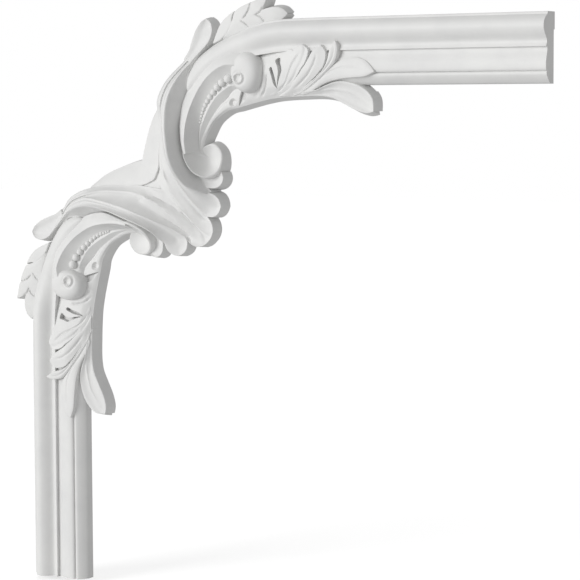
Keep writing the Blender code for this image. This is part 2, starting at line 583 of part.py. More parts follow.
def casting_material():
    """White primer on a moulded casting."""
    material = bpy.data.materials.new("white_primer")
    material.use_nodes = True
    shader = material.node_tree.nodes["Principled BSDF"]
    shader.inputs["Base Color"].default_value = WHITE
    shader.inputs["Roughness"].default_value = 0.6
    shader.inputs["Metallic"].default_value = 0.0
    return material


def half_casting():
    """The upper arm in one solid, with a level back."""
    moulding()
    core()
    corner_band()
    shell()
    ribbon()
    volute()
    curl()
    leaf_body()
    leaflets()
    inner_lobe()
    laurel()
    spoon_leaf()
    beads()
    joined = list(shapes.objects)
    piece = joined[0]
    shapes.objects.unlink(piece)
    result.objects.link(piece)
    combine(piece, "UNION", group=shapes)
    for thing in joined[1:]:
        bpy.data.objects.remove(thing, do_unlink=True)
    combine(piece, "DIFFERENCE", block("back_cut", (0, -60, -20), (ARM_LENGTH + 20, 300, 0)))
    combine(piece, "DIFFERENCE",
            block("rebate_cut", (REBATE_ALONG, REBATE_START, -2),
                  (ARM_LENGTH + 5, MOULDING_WIDTH + 5, REBATE_DEPTH)))
    piece.name = piece.data.name = "corner_casting"
    return piece


def mirror_arm(piece):
    """Cut the piece at the diagonal through the corner and give it its other arm."""
    wedge = block("diagonal_cut", (-WEDGE_REACH, -WEDGE_REACH, -30),
                  (WEDGE_REACH, WEDGE_REACH, 90))
    across_diagonal = Vector((1, 0, 1)).normalized()
    wedge.rotation_euler = (0, DIAGONAL_TURN, 0)
    wedge.location = across_diagonal * -WEDGE_REACH * MM + Vector((0, -30 * MM, 0))
    combine(piece, "DIFFERENCE", wedge)
    mesh = bmesh.new()
    mesh.from_mesh(piece.data)
    cut = [face for face in mesh.faces
           if abs(face.calc_center_median().dot(across_diagonal)) < WELD / 2
           and abs(face.normal.dot(across_diagonal)) > 0.999]
    bmesh.ops.delete(mesh, geom=cut, context="FACES")
    mesh.to_mesh(piece.data)
    mesh.free()
    diagonal = bpy.data.objects.new("diagonal", None)
    diagonal.rotation_euler = (0, DIAGONAL_TURN, 0)
    result.objects.link(diagonal)
    modifier = piece.modifiers.new("other_arm", "MIRROR")
    modifier.mirror_object = diagonal
    modifier.use_axis = (False, False, True)
    modifier.merge_threshold = SEAM_WELD
    piece.data.shade_smooth()
    piece.data.set_sharp_from_angle(angle=SHARP_ANGLE)


clear_scene()
result = new_collection("moulding_corner_piece")
cutters = new_collection("cutters")
shapes = new_collection("carved_shapes")
casting = half_casting()
casting.data.materials.clear()
casting.data.materials.append(casting_material())
mirror_arm(casting)
bpy.data.collections.remove(shapes)
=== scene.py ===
"""Carved corner of panel moulding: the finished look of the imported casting.

The carving is drawn in the plane of the wall, in millimetres from the corner where the two
outer edges would meet: along (right), down, and out (away from the wall).  The upper arm is
built, and the lower arm is its mirror image about the diagonal through that corner.
"""
import json
import math

import bmesh
import bpy
import numpy as np
from mathutils import Matrix, Vector

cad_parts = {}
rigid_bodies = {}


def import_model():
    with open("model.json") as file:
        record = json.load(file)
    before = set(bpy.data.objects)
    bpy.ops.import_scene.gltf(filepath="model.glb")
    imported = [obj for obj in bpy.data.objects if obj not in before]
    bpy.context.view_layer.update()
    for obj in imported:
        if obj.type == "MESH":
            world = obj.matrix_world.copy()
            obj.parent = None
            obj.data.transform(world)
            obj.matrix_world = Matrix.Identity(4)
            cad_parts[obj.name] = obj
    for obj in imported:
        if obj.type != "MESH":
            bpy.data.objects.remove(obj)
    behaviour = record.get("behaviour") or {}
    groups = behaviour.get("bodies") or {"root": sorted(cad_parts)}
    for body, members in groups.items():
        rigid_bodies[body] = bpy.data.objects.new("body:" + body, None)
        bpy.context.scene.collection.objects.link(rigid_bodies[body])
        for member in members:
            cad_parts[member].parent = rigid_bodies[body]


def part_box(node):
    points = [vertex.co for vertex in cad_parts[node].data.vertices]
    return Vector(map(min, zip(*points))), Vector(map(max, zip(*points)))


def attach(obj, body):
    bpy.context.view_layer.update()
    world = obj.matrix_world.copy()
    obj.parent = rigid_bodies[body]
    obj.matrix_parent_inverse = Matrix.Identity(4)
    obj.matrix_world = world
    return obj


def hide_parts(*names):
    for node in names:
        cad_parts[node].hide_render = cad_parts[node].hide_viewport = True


bl_info = {
    "name": "Carved moulding corner",
    "version": (1, 0, 0),
    "blender": (4, 5, 0),
    "location": "View3D > Sidebar > Moulding corner",
    "description": "Builds a carved corner for panel moulding with its primed finish and stage",
    "category": "Object",
}

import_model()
NODE = "corner_casting"
MM = 0.001

# The fixing point on the back lies on the diagonal, this far along and down from the corner
FIXING = 155.0
# The shapes run this far behind the wall plane before the back is cut level
FOOT = 4.0
# The relief in an arm's back starts this far along and this far down, and is this deep
REBATE_ALONG = 300.0
REBATE_START = 15.0
REBATE_DEPTH = 1.9
# The carved cuts are open up to this far out
SLOT_TOP = 40.0

# The photograph's view: a level picture of the corner from its right
CAMERA_PLACE = (0.9237, -1.4296, 0.0898)
CAMERA_YAW = 0.5382
CAMERA_PITCH = 0.0680
CAMERA_ROLL = 0.0055
CAMERA_LENS = 121.39
CAMERA_SHIFT = (0.066, -0.105)

# The studio's soft key light comes from the upper left in front
KEY_AIM = (0.45, 0.87, -0.20)
KEY_STRENGTH = 1.85
SURROUND_STRENGTH = 0.46
# The key light's width as seen from the casting, in degrees: it softens the shadows
KEY_WIDTH = 30.0
# The floor's own glow in the picture, which makes it as pale as the surround
FLOOR_GLOW = 0.5
WHITE = (1.0, 1.0, 1.0, 1.0)
# The sockets of a Mix node for colours: its two inputs and its output
MIX_FIRST, MIX_SECOND, MIX_OUT = 6, 7, 2

# Points nearer than this are one point, in metres
SAME_POINT = 2e-6
# How near a point lies to the back, a face to the diagonal, and two points across it
ON_BACK, ON_DIAGONAL, AT_SEAM = 1e-7, 1e-6, 1e-5
# A face turned this much toward a direction faces that way
SAME_WAY = 0.999
# The turns of a soft edge's steps, in degrees
ROUNDING_TURNS = (30, 60, 90)
# Edges that turn by more than this many degrees are shaded sharp
SHARP_TURN = 40.0
# A crease fades over this share of its length at each end, to this share of its depth
CREASE_FADE = 0.2
CREASE_ENDS = 0.08
# Scallops swell over this many of a rail's last spans, by this power
SCALLOP_SPANS = 2.0
SCALLOP_POWER = 1.5
# A leaf has its full lift where it is wider than its greatest width divided by this
LEAF_FULLNESS = 1.4
# The volute's rim lies at this share of the way in from its wall and is raised by the second,
# and its shoulder lies at this share of the way to that and is raised by the second
RIM_INSET, RIM_RISE = 0.35, 0.35
SHOULDER_INSET, SHOULDER_RISE = 0.6, 0.1
# A cut's floor has its full slope where it is wider than its greatest width divided by this
CUT_FULLNESS = 1.6

# A fold keeps its height this near to its line, and fades over the next width
FOLD_HOLD, FOLD_FADE = 3.0, 4.0
# The folds of the two sides pass into each other over this width at the diagonal
FOLD_SEAM = 2.5
# The folds lie between these places on the diagonal, and ease in and out over this length
FOLD_START, FOLD_END, FOLD_EASE = 133.0, 184.0, 8.0
# The folds move what faces out of the wall by more than the first, fully when by both
FOLD_FACING, FOLD_FACING_EASE = 0.25, 0.3

# Soft creases of the long leaf and its leaflets: each is a line, its half width and its depth
LEAF_CREASES = (
    (((285, 29.5), (281, 33.8), (276.6, 39.5), (273.2, 46.5), (269.6, 54), (263.5, 60),
      (256, 64)), 0.95, 1.3),
    (((249.9, 46.5), (249.9, 51), (249.1, 56), (247.4, 61), (243, 66.5)), 0.9, 1.7),
    (((244.5, 49), (244, 55), (241.5, 61), (237, 67)), 1.6, 1),
    (((300, 31), (299, 36), (297, 41), (292.5, 47.5), (284.5, 54.3), (275, 60.5)), 0.9, 1),
    (((316.6, 24.5), (316, 30), (313.6, 36.8), (307, 44.3), (299, 50.3)), 0.7, 0.7),
    (((306, 49.5), (311, 46.4), (316, 44.2), (322, 42.4), (332.5, 41.9), (343, 43.2)), 0.8,
      0.55),
    (((300, 61.4), (309.4, 60.2), (317.9, 61.2), (324.8, 62.9), (331, 65.8), (339.3, 71)), 0.7,
      -0.6),
)
# Narrow creases where the laurel leaves lap over each other
LAUREL_CREASES = (
    (((232.9, -14), (231.8, -8.1), (229.7, -4), (225.8, 0.8)), 0.6, 1.6),
    (((223.6, 1.9), (226.2, 3.3), (228.6, 5), (232.6, 8.6)), 0.5, 1.1),
    (((238, -2.6), (240.8, -1.7), (243.6, 0), (247, 4.4)), 0.6, 1.5),
    (((245.4, -9.8), (243.4, -6), (241, -4), (237.8, -2.4)), 0.6, 1.4),
)
# The shell's folds on the lower arm and on the upper arm, drawn on the finished casting:
# each line's points and how far the surface is raised (or lowered) along it
FOLDS_LOWER = (
    (((112, 136.5), (127, 138), (137, 139.5), (150, 141.5), (160, 146.5), (167, 156)), 0),
    (((118.9, 141.3), (126.5, 142.1), (136.3, 143.6), (148.3, 145.9), (157.4, 150.8),
      (162, 156.8), (165, 163.7)), 1.1),
    (((131.2, 150.4), (139, 152.4), (148.4, 156.2), (156.7, 160.8), (163.9, 165.6),
      (172.2, 171.9), (179.6, 179)), -3.2),
    (((132, 151.8), (141.2, 156.4), (148.4, 161.6), (156, 168), (162.6, 174), (169.2, 180.4),
      (176, 186.2)), 1.3),
    (((117.3, 153.2), (132.9, 161), (145, 168.6), (155, 174.6), (164, 181), (170, 186.5)), -2.6),
    (((110.2, 159.6), (126.8, 167.1), (138, 174.8), (147.5, 182.5), (154, 189.3)), 0),
)
FOLDS_UPPER = (
    (((149, 127), (150.4, 137), (154.9, 148.6), (162, 158.6), (168.4, 166)), -2.3),
    (((151.4, 127), (153.9, 140.5), (158.3, 149.3), (163.2, 157.8), (169.2, 164.5),
      (174.6, 171.4), (180.9, 179.1)), 1.3),
    (((158, 124), (162.5, 137.5), (168.5, 149), (176, 160), (183.5, 170)), -1.2),
    (((163, 122), (168, 134), (174, 145.5), (181, 155.5), (187.5, 163)), 0),
)

# Below, a rail is a line of points given as along, down and out.  A moulding's section is
# given as across and out, and a leaf's as share of the way across and lift.  A leaf's right
# edge ends at the tip, which is the last point of its left edge and is given there alone.

# The bead's lip and its round at the arms' ends
LIP = ((0, 13.6), (0.25, 14.1), (0.6, 14.4))
BEAD = ((2, 14.6), (2.7, 16), (4, 18), (6.2, 20.6), (8.4, 22), (10.8, 22.6), (13.2, 22.2),
        (15.6, 21), (18, 19.2), (20, 17.3), (21.8, 15.9), (23.2, 15.5), (24.6, 15.8), (26, 16.6),
        (27.3, 17.4))
# The band that the bead becomes in the corner
BEAD_WIDTH = 27.3
BAND = ((0, 12), (1.6, 13.2), (3.4, 15.2), (5.2, 17.2), (7.2, 18.8), (9.6, 20), (12, 20.9),
        (14.4, 21.5), (16.6, 21.8), (18.8, 21.9), (21, 21.7), (23, 21.4), (25, 20.9),
        (BEAD_WIDTH, 20.3))
# The bead's outer and inner edge toward the diagonal (along and down), how far its section
# has become the band's there, and how far it has sunk
BEAD_OUTER = ((380, 1.2), (300, 1.2), (262, 1.8), (242, 4.6), (222, 10.5), (205, 17.5),
              (191, 25.2), (178.5, 34.5), (172, 44), (170.4, 52), (172.2, 58.5))
BEAD_INNER = ((380, 28.2), (300, 28.4), (266, 28.6), (250, 30.2), (236, 32), (219, 33),
              (204, 37.5), (191.5, 46.5), (181, 56), (176, 61), (173.6, 62.2))
BEAD_BLENDS = (0, 0, 0, 0, 0.25, 0.6, 0.85, 1, 1, 1, 1, 1)
BEAD_DROPS = (0, 0, 0, 0, 0, 0, 0, 0, 0, 0.5, 1.5, 3.5)
# The moulding's inner part: the ledge beside the bead, the round, and the edge past the groove
LEDGE = ((25.3, 14.4), (28.6, 14.4))
ROUND = ((31.6, 14.7), (33.4, 15.2), (36.2, 16.3), (38.8, 17.1), (41.4, 17.5), (44, 17.5),
         (45.6, 17.1), (46.6, 16.4))
INNER_EDGE = ((47, 14.8), (47.8, 15.7), (49, 16), (50.4, 15.5), (52.4, 13.9), (54.6, 11.6),
              (56.4, 9.2))
INNER_EDGE_HEIGHT = 7.0
# Where the inner part dips under the long leaf: along, and how far down toward the wall
PANEL_DIPS = ((330, 0), (290, 1), (256, 5.5))
# The plain ground under the carving
PLATE = (
    ((262, 8, 9), (235, 14, 9), (210, 22, 9), (185, 36, 9), (165, 48, 9), (152, 66, 9),
     (140, 88, 9), (130, 112, 9), (126, 134, 9)),
    ((262, 60, 9), (238, 64, 9), (215, 71, 9), (198, 78, 9), (190, 90, 9), (184, 108, 7),
     (196, 130, 4), (188, 160, 8), (180, 186, 9)),
)

# The shell's rails from its outer edge to the hollow's foot, each toward the diagonal
SHELL_RAILS = (
    ((175.5, 16, 6), (170.8, 26, 8.4), (164.6, 36.5, 12.5), (157.2, 47.5, 21),
     (151.8, 57.5, 25.5), (147.3, 69, 26.6), (143.6, 84, 19.4), (143, 103, 17.6),
     (142.6, 119, 17.2), (144.2, 134, 17.6), (147.5, 149.9, 18.2), (163.8, 166.2, 18.2),
     (178.8, 181.2, 12.2), (186, 188.6, 11.4), (188.4, 190.2, 13.2)),
    ((178.4, 16.8, 6.3), (173.3, 27.2, 9.3), (166.6, 37.8, 14.3), (159.8, 48, 22.2),
     (154.6, 58, 26.9), (150.3, 70.8, 28.4), (147.4, 85.6, 24.6), (147.4, 102.8, 23.2),
     (148.3, 117.6, 23.3), (151.4, 130.2, 24.2), (157.2, 143.6, 22.9), (167.2, 161.4, 18.8),
     (180.2, 178.6, 12.6), (190.2, 183.2, 11.5), (194.2, 180.8, 13.5)),
    ((179.4, 17, 6.5), (174.4, 27.6, 9.8), (167.7, 38.1, 15.3), (161, 48.3, 22.8),
     (155.9, 58.3, 27.5), (151.8, 71.1, 29.1), (149.4, 86.1, 25.3), (149.6, 103.1, 24),
     (150.4, 118, 23.7), (153.9, 130.4, 24), (161.6, 143, 22.2), (171.4, 156, 18.7),
     (182.2, 169.6, 14), (189.2, 172, 12.4), (192.3, 172.6, 13.7)),
    ((181.5, 17.6, 6.7), (176.3, 28.5, 10.2), (168.6, 38.8, 15.9), (162.4, 48.4, 23.2),
     (157.6, 58.7, 28.3), (153.8, 72, 30.4), (155.5, 88.5, 33), (158.4, 104.5, 35.2),
     (162, 118.5, 36), (167, 130.8, 33.6), (172.6, 143, 28.4), (179, 155.6, 21),
     (183.8, 162.2, 16.4), (186.2, 165.4, 14.6), (187.4, 167.2, 13.9)),
    ((184, 18.4, 6.8), (178.8, 28.5, 10.6), (170.2, 39, 16.8), (164.4, 48.6, 23.9),
     (160, 59.3, 29.6), (156.7, 73, 32.1), (158.3, 89, 34.2), (161.4, 104.8, 36.2),
     (165.2, 118.5, 36.8), (170, 130.8, 34.2), (175.8, 141.8, 29), (183.2, 151.5, 21.4),
     (191.5, 157.6, 14.8), (199.2, 159.3, 12.5), (202.8, 159.3, 14)),
    ((189.8, 20, 7.2), (182.5, 28.2, 11.2), (172.6, 39.2, 18), (167, 48.8, 24.8),
     (163.3, 60, 31.3), (160.4, 74, 34.6), (161.2, 89.6, 38), (164.3, 105, 41),
     (168.3, 118.5, 43), (172.9, 130.5, 41), (178.6, 140.2, 35.5), (183, 144, 30.5),
     (187, 146.2, 25.5), (189.8, 147.3, 21), (191.8, 148, 17.5)),
    ((191.2, 21, 5), (184.2, 29.8, 8), (174.2, 40.8, 14), (171.8, 49.4, 16.5), (171.4, 60, 16),
     (169, 74, 16), (168, 89.5, 15), (171, 104.5, 14), (176, 116.5, 13), (180.5, 127, 12),
     (184.5, 135.5, 13), (187.5, 140.3, 14), (190, 143.5, 14.5), (192, 145.3, 14.5),
     (193.5, 146.6, 14.5)),
)
# From the rim, its brow lies this much further along, down and out
BROW_SHIFT = (0.9, -0.5, -0.9)
# Between the shell's rails: the number of parts and the depth, then the scallop's bulge
SHELL_GAPS = ((8, 0.9), (4, 0.3), (8, 1.9), (8, 0.8), (8, 0.9), (3, -0.1), (6, 1.2))
SHELL_SCALLOPS = (1.1, 0.7, 0.3, 4.6, 3.4, 0, 0)
# The innermost lobe: its left and right edge and its section
INNER_LOBE = (
    ((176.5, 127, 17), (180, 134, 16.5), (183.9, 139.4, 16), (189, 143, 15), (197.5, 143.2, 14),
     (202.8, 140.2, 13.7), (204.8, 135.2, 13.5), (203.2, 130.4, 13.3)),
    ((177.5, 124, 17), (181, 130, 16.5), (185.5, 133.6, 16), (191, 135, 15),
     (195.5, 133.4, 14.2), (199, 131.4, 13.8), (201.5, 130.2, 13.5)),
    ((0, 0), (0.15, -0.5), (0.5, -1.6), (0.85, -1.8), (1, -1.6)),
)
# The raised band outside the shell, and the flat facet between them
CORNER_BAND = (
    ((145, 68, 14), (136.9, 79, 13.2), (131.5, 88.5, 12.3), (127, 100, 11.7), (123.2, 112, 11.1),
     (121.8, 118, 11), (120.4, 124, 11), (119.2, 130, 11)),
    ((148.5, 69, 18), (144.6, 79, 18), (144, 89, 17.3), (143, 102, 17.2), (141.9, 117.5, 17.5),
     (141.8, 124.4, 17.5), (140.2, 130, 17.6), (135.4, 139.6, 17.6)),
)
FACET = (
    ((141.5, 104, 14.6), (139, 124, 15), (134, 139, 15)),
    ((145, 106, 15.4), (146.5, 130, 16.3), (151, 152, 18)),
)

# The ribbon from its outer foot over its edge and channel to its inner foot
RIBBON_RAILS = (
    ((231, 31, 20.5), (224, 29.6, 21), (215, 30, 20.8), (203, 34, 21), (191, 43, 20.4),
     (180, 53, 19), (172.3, 61, 17.6), (168.7, 71, 19.3), (166.9, 82, 20.4), (168, 92, 23.5),
     (171.2, 104.7, 26.8), (174.2, 114, 28.2)),
    ((229, 41, 25.5), (223.5, 39.3, 27.6), (216, 39.2, 28), (207, 42.5, 27), (197.5, 48.5, 25.5),
     (189.3, 57, 24.5), (184, 65, 24.3), (180, 73.5, 25), (177.7, 82, 26.8), (176.2, 92, 28.4),
     (175.8, 103, 29), (177.2, 114, 29)),
    ((227, 50, 18), (221, 50, 18.3), (214.4, 51, 17.6), (206, 55.5, 17), (198.5, 62.5, 16.4),
     (192.5, 69, 16), (188.5, 76, 15.6), (185.8, 81.5, 15.4), (183.5, 88, 15), (182, 95, 14.5),
     (181.3, 103, 13.8), (181.4, 113, 13.2)),
    ((226, 56.5, 17), (220, 56.5, 17.2), (215, 57, 17.5), (208, 60.7, 17.5), (201, 66, 17.3),
     (195.5, 72.5, 17), (191.3, 79, 16.6), (188, 85, 16.2), (185, 91, 15.6), (183, 98, 15),
     (181.9, 105, 14.3), (181.9, 113, 12.9)),
    ((226, 60.5, 12), (220, 60.5, 12), (215, 61.5, 12), (210, 66, 12), (203.5, 71.5, 12),
     (198, 77.8, 12), (194, 83.2, 12), (190.3, 88.6, 12.1), (187, 94, 12.3), (184.6, 100, 12.5),
     (182.9, 106.5, 12.6), (182.5, 113, 12.4)),
)
RIBBON_GAPS = ((8, -1), (10, 1.2), (3, -0.2), (3, 0))
VOLUTE_WALL = ((182.3, 111.2, 12.6), (180.8, 111.3, 15.8), (178.7, 111.6, 21.3),
               (174.2, 112.8, 28.2), (177, 122.3, 28), (182, 130, 25.3), (189.5, 134.2, 21),
               (196.4, 133.4, 17.5), (201.5, 128.4, 14.3), (203.1, 121, 12.2),
               (201.9, 113.6, 10.8), (197.6, 108.3, 10.2), (192.4, 106.1, 10.2),
               (187, 107.6, 10.9), (183.5, 110.2, 12))
VOLUTE_RIM = ((182.8, 112.6, 12.8), (181.3, 112.8, 15.5), (179.3, 113.2, 21), (177.2, 114, 28.8),
              (179.6, 121, 28.8), (184, 127.5, 26), (190, 131.6, 22), (195.6, 131.2, 18.5),
              (199.9, 127.1, 15.3), (201.5, 120.7, 13), (200.3, 114.4, 11.2), (197, 109.9, 10.6),
              (192.5, 108, 10.6), (187.8, 109.2, 11.2), (184.3, 111.3, 12.3))
VOLUTE_CENTRE = (190.5, 119.8, 8.6)
# The ball at the ribbon's end, in the wall's plane, and the ringed eye on it
BALL_CENTRE, BALL_RADII = (232.6, 45.4), (14.2, 17.6)
EYE_CENTRE, EYE_RADIUS = (228.6, 50.4), 6.5
# The ball's foot and height, how much it tilts, and the powers of its flat top and round side
BALL_FOOT, BALL_RISE, BALL_TILT = 12.5, 14.7, 0.08
BALL_TOP, BALL_SIDE = 4.0, 2.9
# The eye's ring: its radius, how far that closes in one turn, and where the turn starts
RING_RADIUS, RING_CLOSING, RING_START = 4.3, 0.7, 1.1
# The height and half width of the ring, the same of the groove round it and the gap between
# them, and the depth of the dish inside
RING_RISE, RING_WIDTH = 0.95, 0.8
GROOVE_DEPTH, GROOVE_WIDTH, GROOVE_GAP = 0.55, 0.9, 1.7
DISH_DEPTH = 1.9
# The ball's rings of points: shares of the way from the eye to its edge, then those in the eye
BALL_RINGS = (1, 0.99, 0.97, 0.94, 0.9, 0.85, 0.78, 0.7, 0.6, 0.5, 0.4, 0.3, 0.2, 0.1, 0)
EYE_RINGS = (6.1, 5.7, 5.3, 4.9, 4.5, 4.1, 3.7, 3.3, 2.9, 2.4, 1.7, 0.9, 0)
# The line of the bead string in the channel, and each bead's size as a share of the last
BEAD_STRING = ((214.3, 50.9, 19.2), (206.6, 54.9, 18.6), (198.6, 62.2, 17.6), (192, 70, 16.8),
               (187.6, 77, 16.2), (183.9, 87.4, 15.6))
BEAD_SHRINK = 0.9

# The long leaf's rails from its inner edge to its outer edge, from the volute outward
LEAF_RAILS = (
    ((183.5, 114, 12.2), (185.3, 104.5, 12), (188.7, 97.2, 11.5), (195.7, 86.3, 11),
     (207.8, 77.8, 11), (219, 75, 11.2), (231, 72, 11.2), (243, 69.2, 11.3), (256, 66.9, 11.5),
     (270, 65.8, 11.6), (281, 65.4, 11.6), (291, 65.1, 11.6), (300, 64.9, 11.4)),
    ((182.9, 113.6, 12.5), (184.3, 104.2, 12.6), (187.6, 97.3, 12.4), (194.3, 86.3, 12.4),
     (205, 76.4, 12.9), (215.5, 71.5, 13.4), (229, 66, 14.3), (242, 62, 15.4), (255, 58, 16.8),
     (268, 57, 17.6), (280, 57.5, 17.4), (290, 58, 16), (300, 58.5, 14.5)),
    ((182.3, 113.3, 12.4), (183, 103.8, 12.8), (186.2, 97.4, 12.6), (192.6, 86.3, 12.4),
     (202.3, 75.2, 12.4), (212.5, 67.5, 12.6), (227, 54, 14.6), (240.5, 47, 15.8),
     (253, 43.5, 17.2), (266, 42, 18.9), (278, 44, 20.2), (289, 49, 19.4), (302, 51.5, 17.4)),
    ((181.6, 113, 12), (181.8, 103.5, 12.2), (185, 97.5, 12.2), (191.3, 86.3, 11.8),
     (200.3, 74, 11.6), (210.6, 64.8, 11.6), (225, 44, 12), (241, 33, 12.6), (252, 30, 13.6),
     (265, 28.6, 15.6), (277, 28.6, 18.6), (288, 42.5, 20.2), (303.5, 46.8, 19.2)),
)
LEAF_GAPS = ((18, -0.5), (18, -0.4), (18, -0.4))
# The pit between the curl and the long leaf: its middle, the radii of floor and rim, its depth
PIT_CENTRE, PIT_RADII, PIT_DEPTH = (215.2, 70.9, 13.4), (1.9, 5.8), 6.0
# The cuts through the long leaf: left and right edge (along and down), left and right floor
LEAF_CUTS = (
    ("cleft",
     ((226.2, 56), (223.9, 62.1), (222, 68), (219.8, 76.5)),
     ((226.6, 56), (229.8, 62.5), (227.6, 69), (220.6, 76.5)), 11, 13.3),
    ("lens_left",
     ((254.6, 41.2), (253.3, 43), (255.4, 49), (257.2, 55), (260.4, 59.4)),
     ((255, 41), (256.2, 42.6), (258.4, 48.6), (259.6, 54), (260.8, 59.4)), 12.2, 13.2),
    ("lens_right",
     ((258.8, 35.4), (259.2, 37.2), (261.6, 41.4), (262.3, 45.7), (261.3, 51.7), (260.8, 57.2)),
     ((259.2, 34.9), (263.6, 33.8), (264.8, 38.6), (266, 44.2), (263.4, 50.6),
      (261.2, 57.2)), 11, 12),
)
# The leaflets over the moulding and the two large tips, which all meet the long leaf: left
# and right edge, section, parts across, draft and steps between two points of an edge
LEAFLETS = (
    ("leaflet_first",
     ((249, 64.5, 13.2), (258, 61, 15), (264.5, 56.5, 17.2), (269.2, 50, 18.8),
      (272.6, 43, 19.7), (275, 36, 19.8), (277, 29.6, 19.6), (280.7, 25.2, 19.4),
      (286, 23.5, 19.4)),
     ((260, 65, 12.6), (270, 59.6, 16), (277, 53, 18.9), (281.8, 47.9, 20.7), (285, 43.4, 21.7),
      (288.9, 38.5, 21.6), (291, 33, 20.8), (291.2, 27.5, 20)),
     ((0, 0), (0.1, 0.3), (0.35, 0.6), (0.6, 0.5), (0.78, -0.3), (0.92, -0.1),
      (1, 0)), 24, 0.08, 10),
    ("leaflet_second",
     ((260, 65.4, 12.6), (269.6, 60.4, 15.6), (276.6, 54, 18.5), (282.6, 48.6, 20.5),
      (287.4, 43.4, 21.9), (290.8, 38.5, 21.6), (293.6, 33.5, 20.8), (296.8, 28, 20),
      (303, 24.2, 19.5)),
     ((274, 64.8, 12.8), (283, 59.8, 15.6), (291, 54.2, 18.3), (297.5, 49.7, 20),
      (302, 45.6, 21), (305.8, 41.5, 21), (307.6, 36, 20.5), (307.6, 29.5, 20)),
     ((0, 0), (0.15, 0.7), (0.35, 0.9), (0.6, 0.6), (0.85, 0.2), (1, 0)), 24, 0.08, 10),
    ("leaflet_third",
     ((274, 65, 12.8), (282.8, 60.6, 15.3), (291.3, 55.2, 18), (299, 50.5, 19.8),
      (304.4, 45.8, 20.8), (308.3, 41, 21), (310.9, 35, 20.9), (312.6, 28, 20.6),
      (317, 20.9, 20.2)),
     ((283, 62.5, 14.8), (291, 58, 16.8), (299.5, 52.6, 18.6), (307, 46.8, 19.7),
      (313, 41.4, 20), (316.6, 36.5, 20.1), (318.4, 30.5, 20.2), (318.5, 25, 20.2)),
     ((0, 0), (0.2, 0.4), (0.45, 0.2), (0.75, 0.5), (1, 0)), 20, 0.12, 10),
    ("tip_upper",
     ((280, 63.5, 13.8), (291, 58, 16), (301, 52, 18), (309, 45.6, 18.9), (316, 40, 18.4),
      (323, 36.6, 17.8), (334, 34.6, 17.4), (345, 38.4, 18.4), (352.2, 46, 19.6)),
     ((284, 64.2, 13.8), (291.5, 61.9, 15.5), (298.5, 58.3, 17), (306.5, 54.6, 17.9),
      (316, 52, 18.6), (326, 50.7, 19.2), (336, 50.1, 19.7), (345, 49.2, 19.9)),
     ((0, 0), (0.15, 0.6), (0.5, 1), (0.85, 0.7), (1, 0)), 28, 0.12, 9),
    ("tip_lower",
     ((272, 63.8, 13.6), (285, 62.4, 15.2), (297.5, 60.8, 16.6), (305.5, 57.2, 16),
      (316.6, 53.8, 14.6), (329.7, 55.6, 13.2), (340.5, 60.8, 12.3), (347, 68.5, 11.9),
      (347.6, 78.3, 11.5)),
     ((272, 65.8, 12), (285, 65.3, 12.2), (296, 65.2, 12.2), (304, 65.8, 12), (312, 67.5, 11.9),
      (322, 72.2, 11.8), (332, 77, 11.6), (341, 79.4, 11.5)),
     ((0, 0), (0.07, 0.15), (0.16, -0.4), (0.3, -1), (0.5, -1), (0.7, -1.2), (0.86, -0.6),
      (0.94, 0.15), (1, 0)), 32, 0.25, 9),
)

# The laurel leaves outside the bead: the plain one, the creased ones and the ground of these
LAUREL_SECTION = ((0, 0), (0.15, 0.3), (0.5, 0.5), (0.85, 0.3), (1, 0))
LAUREL_LOW = (
    "laurel_low",
    ((196.4, 20.4, 14), (199.4, 13, 13.8), (202.1, 7.2, 13.6), (205.6, 2.2, 13.4),
     (211, -2.4, 13.2), (216, -5.4, 13)),
    ((203.5, 17.6, 14.6), (208.2, 13.6, 14.6), (212.2, 8.6, 14.6), (214.2, 4.2, 14.4),
     (214.4, -1.2, 13.8)),
)
LAUREL_CREASED = (
    ("laurel_left",
     ((205.5, 17, 13.2), (212.2, 10, 13.8), (215.2, 4, 14), (217.6, -4.8, 13.6),
      (223.5, -9.2, 13.2), (232.2, -12.6, 13)),
     ((214, 13.2, 13.4), (220.5, 8, 14), (226.4, 0.4, 14.4), (229.7, -4, 14.2),
      (231.8, -8.1, 13.7))),
    ("laurel_top",
     ((220, 9, 13.8), (225.5, 1, 14), (229.6, -5, 14.2), (233.5, -12.2, 13.8),
      (240.5, -15.2, 12.9), (248.2, -17.4, 12.2)),
     ((229, 6, 13.8), (236, -1.2, 14.2), (242.8, -5.2, 14), (244.9, -9.2, 13.4),
      (246.6, -13, 12.7))),
    ("laurel_end",
     ((229, 4.6, 14), (237.5, -1.8, 14), (245.4, -6.4, 13.7), (253.8, -8.3, 12.9),
      (261.5, -7.4, 11.2), (266.6, -3.2, 9.8)),
     ((232, 7.8, 12.6), (240.5, 6.2, 12.5), (248, 4.9, 12.3), (256, 3.6, 11.8),
      (262.6, 0.6, 10.6))),
)
LAUREL_BASE = (
    ((206.6, 15.6, 13.8), (211.6, 9.6, 14.3), (214.8, 3.6, 14.5), (219, -3.6, 14.5),
     (225, -7.4, 14.3), (232, -8.8, 14.2), (238, -9.4, 13.9), (242.6, -6, 13.6), (249, -6.2, 13),
     (256, -6.2, 11.9), (262, -4, 10.6)),
    ((206, 17.4, 13.2), (210, 15.6, 13.6), (215.5, 13.6, 13.8), (221, 11.6, 13.8),
     (227, 9.4, 13.7), (234, 7.2, 13.5), (240, 5.5, 13.2), (245.5, 3.8, 12.8), (252, 2.8, 12),
     (258, 1.6, 11.1), (263, 0.2, 10)),
)
